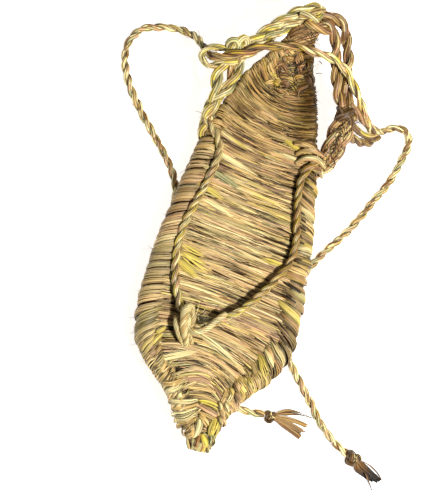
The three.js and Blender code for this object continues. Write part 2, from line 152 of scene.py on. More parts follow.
# Ends of the ties: knot place, heading in degrees from +X and knot size, in millimetres
TIE_ENDS = {
    "left": ((47.5, -91, 3.4), -6, 7.6),
    "right": ((105.6, -104, 4.3), -27, 9.6),
}
TASSEL_CAST = np.array([0.82, 0.76, 0.68])
TASSEL_ODDS = {"left": (0.45, 0.45, 0.1), "right": (0.15, 0.85, 0)}
# Bundles of the tassels: three places in millimetres, width, straws, how far the tip narrows, tip shade
TASSELS = {
    "left": [
        (((50, -89.5), (62, -85.2), (75.5, -85.8)), 4.2, 6, 0.8, 0.5),
        (((50, -90.5), (62.5, -90), (73.2, -91.2)), 3, 4, 0.15, 0.9),
        (((50, -91.5), (61.5, -92.8), (71.8, -95.4)), 3, 4, 0.1, 0.8),
        (((50, -92), (60.5, -95), (70, -98.8)), 3.4, 4, 0.1, 0.95),
    ],
    "right": [
        (((108.5, -103.6), (116, -107), (127.2, -113)), 2.8, 4, 0.1, 0.08),
        (((108.2, -104.4), (115, -108.4), (125.6, -114)), 2.8, 4, 0.1, 0.06),
        (((108, -105.2), (113.8, -109.7), (123, -114.2)), 2.8, 4, 0.1, 0.06),
        (((107.6, -106), (112.4, -110.3), (120.4, -113.6)), 2.8, 4, 0.1, 0.07),
        (((107.2, -106.6), (111, -110.2), (117.8, -112.4)), 2.6, 4, 0.1, 0.1),
        (((112.5, -104), (122.5, -107.4), (128.6, -113)), 0.8, 1, 0.2, 0.4),
        (((115.5, -111), (119.5, -115), (124.2, -121)), 0.8, 1, 0.4, 0.4),
    ],
}

# The cross tie is a little thicker, brown at its left end and light on the right, and changes between two
# shares of its length
CROSS_SIZE = 1.1
CROSS_LAY = 2.6
CROSS_SHADES = ("pale", "tan", "pale", "rose", "yellow")
CROSS_LEFT_CAST = np.array([0.58, 0.47, 0.36])
CROSS_RIGHT_CAST = np.array([1.1, 1.1, 1.05])
CROSS_CHANGE = (0.34, 0.52)
# Shades of the ties, and how much lighter than the sole they are
TIE_SHADES = ("tan", "pale", "pale", "brown", "tan", "pale", "rose", "green")
TIE_LIGHT = 1.06
TASSEL_SHADES = ("tan", "brown", "rose")
KNOT_SHADES = ("brown", "brown", "tan", "brown")
KNOT_CAST = 0.6
# Shares of a knot's size: its cord's thickness, the reach of its turns and the height of its middle
KNOT_CORD = 0.4
KNOT_REACH = 0.36
KNOT_MIDDLE = 0.42
# Shades of the straps
CORD_SHADES = ("pale", "tan", "pale", "yellow", "pale", "tan", "pale", "yellow", "green")
TOE_SHADES = ("pale", "tan", "pale", "yellow", "pale", "tan", "rose")
LOOP_SHADES = ("pale", "pale", "pale", "tan")
LOOP_CAST = 0.88
EAR_SHADES = ("tan", "rose", "pale", "brown", "tan")
EAR_CAST = np.array([0.76, 0.69, 0.62])
CROSSING_SHADES = ("brown", "rose", "brown", "tan")
CROSSING_CAST = 0.45
EYE_SIDE_SHADES = ("yellow", "tan", "brown")
EYE_CAST = 0.8
# The right leg of the toe strap is browner than the left one
TOE_LEFT_CAST = np.array([0.88, 0.88, 0.86])
TOE_RIGHT_CAST = np.array([0.64, 0.55, 0.43])
TOE_CHANGE = (0.6, 0.7)
# The heel strap: its light bight round the left ear, and the two brown cords to the right ear
STRAP_LEFT = [
    (5.6, 145, 41.5), (9, 147.6, 42.8), (11.4, 151, 43.4), (10.6, 154.2, 43.2), (7.6, 154.8, 43),
    (3.4, 152, 43), (-2.5, 147.5, 41.5), (-10.5, 139.5, 39), (-19, 129.5, 36), (-27, 120.5, 33),
    (-38, 116, 30), (-47.5, 113.5, 28.5), (-51, 108, 27.5), (-46, 103, 27.5), (-39, 105.5, 28),
    (-32, 110, 30), (-25, 115.5, 33), (-17.5, 124, 36), (-9, 135, 38.5), (-1, 143.2, 40.5), (6, 147.5, 41.4),
]
STRAP_OUTER = [
    (9.1, 146.4, 40), (15.1, 150.8, 40.8), (20.9, 152.6, 40.5), (27.1, 151.8, 39), (30.8, 148.6, 37.5),
    (34.2, 143.6, 35.5), (36.4, 139.5, 34), (38.5, 135.2, 32.5), (40, 130, 31.5), (40.5, 125, 30.5),
    (40.8, 119.9, 30), (42.7, 114.7, 29), (45.9, 109.1, 28.5), (49.5, 104.4, 28), (52, 98, 26),
]
STRAP_INNER = [
    (9.2, 143.1, 38), (14.6, 146.4, 39.5), (19.1, 147.3, 39.5), (23.5, 145.2, 38), (26.7, 141, 36),
    (29.1, 136.8, 34.5), (30.3, 131.6, 33.2), (31.9, 125.2, 31.8), (34.8, 118.4, 30.5), (37.6, 113, 29.4),
    (40.7, 107.5, 28.5), (44.4, 102.8, 28), (47, 97, 26),
]
STRAP_FILL = [
    (-27, 118, 32), (-18, 126.8, 35), (-9.8, 137.2, 37.8), (-1.8, 145.3, 40), (5, 150.3, 41.8),
    (12.5, 153, 42.4)]
STRAP_TUCK = [(1, 145.5, 40.5), (6.5, 149.6, 43), (10.4, 152.2, 43.6), (13.5, 154.2, 42.4)]
# Brown bundle that crosses over the binding, and the light end that is folded under the strap
STRAP_COLLAR = [
    (4.7, 143.1, 42.5), (7.6, 141.4, 44.4), (12.5, 140.9, 44), (17.3, 141.8, 41.5), (20.7, 144, 38.5)]
FOLD_END = [(-1, 146.2, 43.5), (2.8, 146.4, 45), (6.8, 146.1, 45), (11, 145.6, 43.5)]
# Right ear: two rolls with a thin braid between them, and the brown bundles that cross at its top
EAR_ROLLS = [
    [(34, 64, 9), (40.6, 69, 13.5), (41.8, 76.7, 19), (41.6, 83.2, 23), (42, 90, 26), (43.2, 97, 28),
     (45.5, 104, 28.5)],
    [(36, 60.5, 9), (44, 64.8, 10.5), (47.6, 71.5, 15.5), (49.4, 78.2, 19.5), (50.2, 85, 23), (50.4, 92, 26),
     (49.4, 99, 28)],
]
EAR_BRAID = [(38, 64, 11), (43, 69.5, 16.5), (45, 76.3, 21), (45.6, 83, 25), (45.9, 90, 28), (46, 96, 29.5)]
EAR_CROSSING = [
    [(40.6, 103, 26.5), (42.6, 100, 30.2), (46, 97.6, 31.4), (49.6, 95.6, 30), (52.5, 92, 26)],
    [(51, 105.5, 27), (48.4, 102, 30.6), (45.4, 98.4, 31.6), (42.8, 95.4, 30), (41, 91, 25.5)],
]
EYE_SIDE = [
    (46.7, 97.6, 29.5), (51.7, 95.2, 27.5), (58.3, 94.6, 21.5), (65, 95.3, 15), (71.8, 97.7, 10),
    (76, 101, 7)]
EYE_TOP = [(46.7, 106.2, 30.5), (52, 103.6, 29), (58.5, 101.4, 24.5), (66.4, 101, 17.5), (74.4, 102, 10)]
EYE_FILL = [(51.8, 97, 23), (59.9, 95.6, 17.5), (68.1, 96.3, 11), (76.2, 98.7, 6)]
# Bundles of the ear's root, which come out of the bed and go over the edge
EAR_ROOTS = [
    [(23, 68.5, 18.5), (27, 71.2, 21.6), (33, 72.8, 22), (41, 72, 18.4), (49, 69.6, 11.5)],
    [(24.5, 63, 17.6), (29, 66.8, 21.6), (35, 68.2, 21.6), (42, 67.6, 16.6), (46.5, 65.8, 11)],
    [(28, 58, 16.6), (32, 61.8, 20.4), (37.6, 63.2, 19.6), (43.4, 62.6, 14), (45.6, 61.6, 10)],
    [(20, 74.4, 19), (24, 75.2, 20.4), (30, 75.4, 20.4), (37, 74.6, 18)],
]
# Main cord of the toe loop
LOOP_MAIN = [
    (-14.1, -64.3, 11), (-18, -61.5, 18.5), (-21.9, -56.9, 25.2), (-23.9, -51.6, 27.8), (-24.4, -46.3, 28.2),
    (-22.8, -42.5, 27), (-19.6, -42.8, 23)]
# Strands beside it, and the end that lies along the toe strap: middle line and radius in millimetres
LOOP_STRANDS = [
    ([(-27.3, -48.9, 21), (-27.1, -53.9, 24), (-24.5, -58.6, 23), (-19.7, -62.5, 17.5),
      (-14.6, -64.4, 10.5)], 1.5),
    ([(-22.8, -43, 25.6), (-20, -44.4, 27), (-18.3, -47.9, 26.4), (-18.2, -51.4, 24.5),
      (-19, -54.6, 22)], 1.7),
    ([(-22.4, -44.9, 25), (-21, -49.3, 25.6), (-19.9, -54.5, 24.6), (-18.1, -58.6, 20)], 1.7),
    ([(-20, -53.8, 23), (-16.8, -55.6, 25.4), (-13.2, -55, 26.4), (-8.4, -51.4, 26.2), (-4, -45.6, 25.6),
      (0.8, -40.6, 24.6)], 1.8),
    ([(-18.2, -55.7, 22.5), (-14.8, -60, 18), (-10.8, -63.5, 11)], 1.2),
]
# Twisted cords of the upper: route, setting of its thickness and share of it, shades, lay
STRAP_CORDS = [
    (TOE_STRAP, "toe_strap", 1, TOE_SHADES, 1.8),
    (LEFT_EAR, "left_ear", 1, CORD_SHADES, 1.9),
    (LEFT_EAR_BACK, "left_ear", 1, CORD_SHADES, 1.9),
    (EAR_MIDDLE, "left_ear", 0.7, EAR_SHADES, 1.9),
    (RIGHT_EYE, "right_eye", 1, EAR_SHADES, 2.2),
    (STRAP_LEFT, "heel_strap", 1, CORD_SHADES, 1.8),
    (STRAP_OUTER, "heel_strap", 1, EAR_SHADES, 1.9),
    (STRAP_INNER, "heel_strap", 1, EAR_SHADES, 1.9),
    (EAR_ROLLS[0], "right_ear", 1, EAR_SHADES, 1.7),
    (EAR_ROLLS[1], "right_ear", 1, EAR_SHADES, 1.7),
]
# Middles and spreads in millimetres of the tufts of broken straw: on the fold, the toe loop and the binding
FOLD_TUFT = ((12, 150.5, 42.5), (2.6, 2.2, 0.8))
LOOP_TUFT = ((-14.8, -47.6, 24.5), (1.3, 1.3, 1.3))
BINDING_TUFT = ((8.5, 138, 42), (3.2, 3, 0.7))

# Camera of the photograph, in millimetres and degrees
PICTURE_WIDTH = 435
PICTURE_HEIGHT = 495
TARGET = (0, 0, 8)
TARGET_PIXEL = (232, 252)
LEAN_LEFT = 14
LEAN_TOE = 12
CAMERA_DISTANCE = 720
SCALE_AT_TARGET = 0.612
CAMERA_ROLL = 13
SENSOR = 36


def paint(red, green, blue):
    """Linear colour of a screen colour given from 0 to 255."""
    share = np.array([red, green, blue]) / 255
    return tuple(np.where(share <= 0.04045, share / 12.92, ((share + 0.055) / 1.055) ** 2.4).tolist())


def length_setting(name, description, default):
    """Setting for a thickness or height in metres."""
    return bpy.props.FloatProperty(
        name=name, description=description, default=default, min=0, unit="LENGTH", precision=5)


def colour_setting(name, description, default):
    """Setting for a linear colour."""
    return bpy.props.FloatVectorProperty(
        name=name, description=description, default=default, size=3, min=0, max=1, subtype="COLOR")


class SandalSizes(bpy.types.PropertyGroup):
    """Sizes of the straws and cords."""

    weft_rows: bpy.props.IntProperty(
        name="Weft rows", description="Rows of straw from toe to heel", default=78, min=20, max=120)
    row_straws: bpy.props.IntProperty(
        name="Straws in a row", description="Straws side by side in one weft row", default=6, min=2, max=10)
    row_bulge: length_setting("Row bulge", "How far the middle of a row stands over its sides", 0.0013)
    straw_height: length_setting("Straw height", "Thickness of a weft straw", 0.0009)
    toe_strap: length_setting("Toe strap", "Thickness of the toe strap", 0.0042)
    toe_loop: length_setting("Toe loop", "Thickness of the toe loop's cord", 0.0038)
    left_ear: length_setting("Left ear", "Thickness of the left ear's cord", 0.0066)
    right_ear: length_setting("Right ear", "Thickness of the right ear's cord", 0.0068)
    right_eye: length_setting("Right eye", "Thickness of the strand that leaves the right ear", 0.005)
    heel_strap: length_setting("Heel strap", "Thickness of each strand of the heel strap", 0.0063)
    tie: length_setting("Tie", "Thickness of the tie cord", 0.0044)


class SandalColours(bpy.types.PropertyGroup):
    """Colours of the straw."""

    tan: colour_setting("Tan", "Common colour of the straw", paint(194, 160, 96))
    rose: colour_setting("Rose", "Straw with a pinkish cast", paint(192, 150, 106))
    pale: colour_setting("Pale", "Pale dry straw", paint(224, 204, 142))
    yellow: colour_setting("Yellow", "Bright yellow straw", paint(208, 184, 76))
    green: colour_setting("Green", "Grey-green straw", paint(168, 162, 106))
    brown: colour_setting("Brown", "Brown straw of the heel and the tails", paint(136, 98, 52))
    # Dark colour of the straw inside the weave, which paints the shade in its gaps and on dark straws and
    # hairs
    core: colour_setting("Core", "Straw deep inside the weave", paint(58, 40, 18))


# Lines and straws

LINE_STEPS = 24


def eased_between(start, end, leave, arrive, share):
    """Smooth way from one value to another that leaves and arrives with the given slopes."""
    stay = 1 - share
    return (start * (1 + 2 * share) * stay ** 2 + leave * share * stay ** 2
            + end * share ** 2 * (3 - 2 * share) - arrive * share ** 2 * stay)


def cord_line(route, step=0.9):
    """Evenly spaced points in metres on the smooth line through a route in millimetres."""
    points = np.array(route, float)
    chain = np.vstack([2 * points[0] - points[1], points, 2 * points[-1] - points[-2]])
    share = np.linspace(0, 1, LINE_STEPS, endpoint=False)[:, None]
    dense = []
    for before, start, end, after in zip(chain, chain[1:], chain[2:], chain[3:]):
        pairs = ((before, start), (start, end), (end, after))
        first, middle, last = (np.sqrt(np.linalg.norm(far - near)) for near, far in pairs)
        leave = (start - before) / first - (end - before) / (first + middle) + (end - start) / middle
        arrive = (end - start) / middle - (after - start) / (middle + last) + (after - end) / last
        dense.append(eased_between(start, end, leave * middle, arrive * middle, share))
    dense = np.vstack([*dense, points[-1:]])
    way = way_along(dense)
    places = np.linspace(0, way[-1], max(3, round(way[-1] / step)) + 1)
    return np.stack([np.interp(places, way, column) for column in dense.T], axis=1) * MM


def three_point_line(plan, share):
    """Points at shares of the way along the curve through three places."""
    start, middle, end = (np.array(place, float) for place in plan)
    share = share[:, None]
    return (start * (1 - share) * (1 - 2 * share) + middle * 4 * share * (1 - share)
            + end * share * (2 * share - 1))


def unit(vectors):
    """Vectors of length one in the same directions."""
    return vectors / np.maximum(np.linalg.norm(vectors, axis=-1, keepdims=True), 1e-12)


def way_along(line):
    """Distance along a line, or along each of several, at each point."""
    steps = np.linalg.norm(np.diff(line, axis=-2), axis=-1)
    return np.concatenate([np.zeros((*steps.shape[:-1], 1)), np.cumsum(steps, axis=-1)], axis=-1)


def carried_sides(line):
    """Two directions across a line, carried along it without twist."""
    ahead = unit(np.gradient(line, axis=0))
    start = np.cross(ahead[0], (0, 0, 1))
    if np.linalg.norm(start) < 0.1:
        start = np.cross(ahead[0], (1, 0, 0))
    side = [unit(start)]
    for direction in ahead[1:]:
        side.append(unit(side[-1] - (side[-1] @ direction) * direction))
    side = np.array(side)
    return side, np.cross(ahead, side)


def waves(rng, count, place, slow, fast, parts=3):
    """Smooth random waves over the given places, one row for each straw, mostly within one."""
    pace = rng.uniform(slow, fast, (count, parts, 1))
    phase = rng.uniform(0, 2 * np.pi, (count, parts, 1))
    swing = rng.uniform(0.3, 0.7, (count, parts, 1))
    return (swing * np.sin(pace * np.asarray(place) + phase)).sum(axis=1)


def ease(value, start, end):
    """Smooth step from 0 at start to 1 at end."""
    share = np.clip((value - start) / (end - start), 0, 1)
    return share * share * (3 - 2 * share)


def straw_places(count):
    """Middles of straws that lie side by side, from -0.5 to 0.5."""
    return (np.arange(count) + 0.5) / count - 0.5


def round_top(place):
    """Height of a round bundle over the places of its straws."""
    return np.sqrt(np.maximum(0, 1 - (2 * place) ** 2))


def loose_places(rng, bundles, straws, play):
    """Places of the straws in some bundles, each a little off its own."""
    return straw_places(straws)[None, :, None] + rng.uniform(-play, play, (bundles, straws, 1))


def straw_waves(rng, bundles, straws, place, slow, fast):
    """Smooth random waves for each straw of some bundles."""
    return waves(rng, bundles * straws, place, slow, fast).reshape(bundles, straws, -1)


def per_straw(count, *values):
    """The values spread to one shape, with one row for each straw."""
    return [value.reshape(count, -1) for value in np.broadcast_arrays(*values)]


class StrawStock:
    """Gathers swept straws and makes one piece of them."""

    def __init__(self):
        self.points = []
        self.faces = []
        self.tints = []
        self.grain = []
        self.count = 0

    def add(self, rings, tints, rng):
        """rings: (straws, places, corners, 3), tints: the same shape or one that spreads to it."""
        straws, places, corners = rings.shape[:3]
        above_floor = np.maximum(rings[..., 2:], 0)
        rings = np.concatenate([rings[..., :2], above_floor], axis=-1)
        index = np.arange(straws * places * corners).reshape(straws, places, corners) + self.count
        turned = np.roll(index, -1, axis=2)
        walls = np.stack([index[:, :-1], turned[:, :-1], turned[:, 1:], index[:, 1:]], axis=-1)
        self.faces.append(walls.reshape(-1, 4))
        for corner in range(corners // 2 - 1):
            ends = [corner, corner + 1, corners - 2 - corner, corners - 1 - corner]
            self.faces.append(index[:, 0][:, ends[::-1]])
            self.faces.append(index[:, -1][:, ends])
        along = way_along(rings.mean(axis=2)) / MM
        around = np.abs(np.linspace(-1, 1, corners, endpoint=False))
        offset = rng.uniform(0, 100, (straws, 1, 1))
        grain = np.stack(np.broadcast_arrays(along[:, :, None] + offset, around + offset), axis=-1)
        self.points.append(rings.reshape(-1, 3))
        self.tints.append(np.broadcast_to(tints, rings.shape).reshape(-1, 3))
        self.grain.append(grain.reshape(-1, 2))
        self.count += straws * places * corners

    def piece(self, name, finish, slot):
        """One object of all the straws so far, which rides on the root body."""
        points = np.concatenate(self.points)
        faces = np.concatenate(self.faces)
        mesh = bpy.data.meshes.new(name)
        mesh.from_pydata(points.tolist(), [], faces.tolist())
        tint = mesh.color_attributes.new("tint", "FLOAT_COLOR", "POINT")
        shades = np.ones((len(points), 4), np.float32)
        shades[:, :3] = np.concatenate(self.tints)
        tint.data.foreach_set("color", shades.ravel())
        grain = np.concatenate(self.grain).astype(np.float32)
        layer = mesh.uv_layers.new(name="grain")
        layer.uv.foreach_set("vector", grain[faces.ravel()].ravel())
        mesh.shade_smooth()
        mesh.materials.append(finish)
        piece = bpy.data.objects.new(name, mesh)
        bpy.context.scene.collection.objects.link(piece)
        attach(piece, "root")
        return piece


# Section of a flat straw: across and out, then how much of its colour each corner shows, as painted shade
# that darkens its sides and underside
BLADE = np.array([(0.5, 0), (0.25, 0.45), (-0.25, 0.45), (-0.5, 0), (-0.25, -0.5), (0.25, -0.5)])
BLADE_PAINTED_SHADE = np.array([0.08, 1.0, 1.0, 0.08, 0.1, 0.1])


def add_blades(stock, rng, path, across, width, height, tint):
    """Flat straws. path, across: (straws, places, 3); width, height: (straws, places); tint: to (.., 3)."""
    ahead = unit(np.gradient(path, axis=1))
    across = unit(across - (across * ahead).sum(-1, keepdims=True) * ahead)
    out = np.cross(ahead, across)
    wide = (across * width[..., None])[:, :, None, :] * BLADE[:, 0, None]
    thick = (out * height[..., None])[:, :, None, :] * BLADE[:, 1, None]
    tint = np.broadcast_to(tint, path.shape)
    # Painted shade on the sides and underside of each straw
    stock.add(path[:, :, None, :] + wide + thick, tint[:, :, None, :] * BLADE_PAINTED_SHADE[:, None], rng)


PLY_STRAWS = 6
# Shares of a ply's radius at the grooves between its straws and on the straws, and the painted shade in the
# grooves
PLY_GROOVE = 0.85
PLY_RIDGE = 1.04
GROOVE_PAINTED_SHADE = 0.1
# Corners of one straw round a ply: the groove before it, then its two sides
STRAW_CORNERS = np.array([0, 0.28, 0.72])
# Shares of a cord's size: from its middle to a ply's, and a ply's radius
PLY_REACH = 0.235
PLY_RADIUS = 0.345
# Painted shade between the plies of a cord, and the shares of its size between which it fades
CREVICE_PAINTED_SHADE = 0.2
CREVICE_FADE = (0.26, 0.5)


def add_ply(stock, rng, line, radius, tints, twist=0.0, straws=PLY_STRAWS, fray=0.07, cord=None, cast=1.0):
    """One bundle of straws along a line in metres, with a groove between each straw and the next.

    cord: middle line and size of the cord that the bundle is part of, for painted shade on its
    inside; cast: colour along the line.
    """
    side, up = carried_sides(line)
    radius = np.broadcast_to(radius, len(line))
    way = way_along(line) / (2 * radius.mean())
    starts = np.arange(straws) + rng.uniform(-0.2, 0.2, straws)
    widths = np.diff(np.append(starts, starts[0] + straws))
    around = (starts[:, None] + widths[:, None] * STRAW_CORNERS).ravel() / straws
    groove = np.tile(STRAW_CORNERS == 0, straws)
    angles = 2 * np.pi * around + twist * way[:, None]
    swell = 1 + fray * waves(rng, straws, way, 0.3, 2.5).T
    girth = radius[:, None] * np.where(groove, PLY_GROOVE, PLY_RIDGE) * np.repeat(swell, 3, axis=1)
    spread = np.cos(angles)[..., None] * side[:, None, :] + np.sin(angles)[..., None] * up[:, None, :]
    points = line[:, None, :] + girth[..., None] * spread
    pick = waves(rng, straws, way, 0.1, 0.5).T
    choice = np.floor((pick * 0.4 + rng.uniform(0, 1, straws)) * len(tints)).astype(int) % len(tints)
    light = rng.uniform(0.75, 1.15, straws) * (1 + 0.18 * waves(rng, straws, way, 0.4, 2.5).T)
    shade = np.repeat(np.array(tints)[choice] * light[..., None], 3, axis=1)
    # Painted shade in the grooves between the straws
    shade = shade * np.where(groove, GROOVE_PAINTED_SHADE, 1)[None, :, None]
    shade = shade * np.broadcast_to(cast, (len(line), 3))[:, None, :]
    # Painted shade on the side of the ply that faces the cord's middle
    if cord is not None:
        middle, size = cord
        apart = np.linalg.norm(points - middle[:, None, :], axis=-1) / size
        open_share = ease(apart, *CREVICE_FADE)
        shade = shade * (CREVICE_PAINTED_SHADE + (1 - CREVICE_PAINTED_SHADE) * open_share)[..., None]
    stock.add(points[None], np.clip(shade, 0, 1)[None], rng)


def add_cord(stock, rng, line, size, tints, half_pitch=1.8, fray=0.08, cast=1.0, straws=PLY_STRAWS,
             taper=1.0):
    """Two bundles twisted into a cord along a line in metres. taper: share of the size along the line."""
    side, up = carried_sides(line)
    way = way_along(line) / size
    whole = size * np.broadcast_to(taper, len(line))
    start = rng.uniform(0, 2 * np.pi)
    for ply in range(2):
        turn = start + np.pi * (way / half_pitch + ply) + 0.3 * waves(rng, 1, way, 0.1, 0.5)[0]
        reach = whole * PLY_REACH * (1 + fray * waves(rng, 1, way, 0.2, 1.2)[0])
        middle = line + reach[:, None] * (np.cos(turn)[:, None] * side + np.sin(turn)[:, None] * up)
        girth = whole * PLY_RADIUS * (1 + fray * waves(rng, 1, way, 0.3, 1.5)[0])
        add_ply(stock, rng, middle, girth, tints, straws=straws, fray=fray, cast=cast,
                cord=(line, whole[:, None]))


def changing_cast(line, first, last, change):
    """Cast along a line that goes over from one to another between two shares of its points."""
    share = ease(np.linspace(0, 1, len(line)), *change)[:, None]
    return first * (1 - share) + last * share


def add_braid(stock, rng, line, size, tints, pitch=1.5):
    """Three bundles braided flat along a line in metres."""
    side, up = carried_sides(line)
    way = way_along(line) / size
    for strand in range(3):
        turn = 2 * np.pi * (way / pitch + strand / 3)
        wide = 0.3 * size * np.sin(turn)
        high = 0.15 * size * np.sin(2 * turn)
        middle = line + wide[:, None] * side + high[:, None] * up
        add_ply(stock, rng, middle, 0.23 * size, tints, straws=4, cord=(line, size))


def add_hairs(stock, rng, start, way, length, width, tint, bend=0.3):
    """Loose straws. start, way: (hairs, 3); length, width: (hairs,), all in metres."""
    share = np.linspace(0, 1, 7)
    curl = rng.normal(0, bend, (len(start), 1, 3)) * share[:, None] ** 2
    path = start[:, None] + length[:, None, None] * (unit(way)[:, None] * share[:, None] + curl)
    path[..., 2] = np.maximum(path[..., 2], 0.4 * MM)
    across = rng.normal(size=(len(start), 1, 3)) * np.ones((1, len(share), 1))
    wide = width[:, None] * (1 - 0.6 * share)
    add_blades(stock, rng, path, across, wide, 0.7 * wide, np.asarray(tint)[:, None, :])


def add_cord_hairs(stock, rng, line, size, tints, every=7):
    """Ends of straw that stand off a cord."""
    count = max(2, round(way_along(line)[-1] / MM / every))
    spot = rng.integers(1, len(line) - 1, count)
    ahead = unit(np.gradient(line, axis=0))[spot] * rng.choice((-1, 1), (count, 1))
    out = unit(np.cross(ahead, rng.normal(size=(count, 3))))
    start = line[spot] + 0.4 * size * out
    length = rng.uniform(2, 6, count) * MM
    tint = np.array(tints)[rng.integers(0, len(tints), count)] * rng.uniform(0.6, 1.1, (count, 1))
    add_hairs(stock, rng, start, ahead + rng.uniform(0.2, 0.7, (count, 1)) * out, length,
              rng.uniform(0.25, 0.5, count) * MM, tint)


# The sole

# First and last weft row in millimetres, and the shares of a section that the straws' places run over
FIRST_ROW = -118.5
LAST_ROW = 130
TOP_REACH = np.linspace(-0.78, 0.76, 25)
EDGE_REACH = np.array([0.58, 0.64, 0.7, 0.76, 0.82, 0.87, 0.92, 0.97, 1.03, 1.12, 1.23, 1.36, 1.5])
UNDER_REACH = np.linspace(0.95, 3.05, 21)
# Depth of the sole's body under the straws in millimetres
CORE_DEPTH = 1.0
# Most straws are light and a few are much darker
BRIGHTEST_STRAW = 1.18
LIGHT_RANGE = 0.85
# Shades of the sole's straws and their odds
SOLE_SHADES = ("tan", "rose", "pale", "yellow", "green", "brown")
SOLE_ODDS = (0.38, 0.27, 0.15, 0.07, 0.07, 0.06)
FINE_SHADES = ("pale", "tan", "rose", "yellow", "green", "brown")
FINE_ODDS = (0.28, 0.24, 0.16, 0.08, 0.08, 0.16)
# Slant of the bundles that wrap the edges, in millimetres towards the toe: y, left, right
EDGE_SLANT = np.array([
    (-118, 0, 0), (-95, 1, 1), (-76, 3, 1.5), (-68, 5, 2), (-59, 7, 6), (-49, 9.5, 8), (-42, 5, 8.5),
    (-33, 5.5, 9.5), (-21, 5.5, 6), (-10, 8, 4), (6, 10, -2.5), (14, 10, -2.5), (26, 9, 4), (48, 7, 8),
    (66, 4, 6), (80, 0, 2), (95, 0, 0), (130, 0, 0)])
# How they wrap each side. ragged: play of their starts; spread: share of the spacing that they cover, and
# toe_spread more at the toe; lap, swell: tilt and bulge in millimetres; straw: width over the room for it;
# border: painted shade at a bundle's sides; dark, dark_end: painted shade at its start, where it comes out of
# the bed, and the share of its way where that ends; odds: of the sole's shades
EDGE_WRAP = {
    -1: {
        "ragged": 1, "spread": 0.95, "toe_spread": 0, "lap": 0.7, "swell": 1.1, "straw": 1.5,
        "border": 0.5, "dark": 0.45, "dark_end": 0.26, "odds": (0.32, 0.31, 0.18, 0.03, 0.06, 0.1)},
    1: {
        "ragged": 2.5, "spread": 0.86, "toe_spread": 0.4, "lap": -1, "swell": 1.6, "straw": 1.3,
        "border": 0.85, "dark": 0.55, "dark_end": 0.4, "odds": (0.46, 0.2, 0.1, 0.12, 0.03, 0.09)},
}
# Spacing of those bundles along the foot: y, spacing
EDGE_PITCH = np.array([(-118, 3.2), (-95, 3.8), (-80, 5), (50, 5), (76, 3.4), (130, 2.6)])
# Kinds of plump bundles on the edges. start: share of the section where they begin; length: share that they
# take; lift: in millimetres; tone: share of the left edge's leading shade; odds: of the sole's shades
LEAF_KINDS = {
    "petal": {
        "straws": 6, "start": (0.58, 0.76), "length": (0.36, 0.48), "lift": 0, "tone": 0.65,
        "odds": (0.46, 0.17, 0.12, 0.15, 0.03, 0.07)},
    "scale": {
        "straws": 4, "start": (0.58, 0.86), "length": (0.14, 0.24), "lift": 0.7, "tone": 0.2,
        "odds": (0.32, 0.16, 0.22, 0.2, 0.04, 0.06)},
}
# Rows of those bundles: kind, side, first and last row, spacing, width
EDGE_LEAVES = [
    ("petal", 1, -84, 58, 5.4, 5.4), ("petal", -1, -86, -44, 5.8, 5.8),
    ("scale", -1, -92, -54, 2.2, 3.2), ("scale", 1, -92, -44, 2.2, 3.2)]
# How far they stand out and bulge on each side, in millimetres
LEAF_BULGE = {-1: (0.2, 2.1), 1: (0.9, 2.6)}
# Painted gaps between them, thin dark straws: side, first and last row, spacing
PAINTED_EDGE_GAPS = (1, -60, 58, 5.4)
# Leading shade of the left edge along the foot: y, shade
LEFT_TONES = [
    (-90, "pale"), (-72, "tan"), (-62, "rose"), (-53, "green"), (-45, "green"), (-39, "rose"), (-31, "tan"),
    (-24, "green"), (-18, "pale"), (-11, "green"), (-3, "pale"), (6, "rose"), (18, "rose"), (28, "brown"),
    (36, "rose"), (46, "rose"), (58, "tan"), (80, "tan")]
# Row where the braid of the toe starts
TOE_BRAID_START = -86
# Share of a row's pitch that its straws cover, which leaves a dark line to the next row
ROW_SPREAD = 0.9
# Share of the way to the side where the weave of the bed ends
WARP_LINE = 0.66
# Colour lost to wear at the heel, painted shade on its right wall and at that wall's rim, and a lighter toe
HEEL_WEAR = np.array([0.3, 0.38, 0.57])
WALL_PAINTED_SHADE = np.array([0.63, 0.7, 0.86])
RIM_PAINTED_SHADE = 0.45
TOE_GAIN = 0.1
# Where each sets in and where it is full: rows in millimetres, and shares of the way round
HEEL_ROWS = (25, 100)
WALL_ROWS = (74, 98)
WALL_REACH = (0.28, 0.82)
RIM_ROWS = (56, 74)
RIM_REACH = (0.78, 0.93)
TOE_ROWS = (-40, -70)
# The wall's painted shade ends below the widest line, and the left side is spared a share of the heel's wear
WALL_END = (1.1, 1.3)
LEFT_REACH = (-0.45, -0.85)
LEFT_SPARED = 0.4
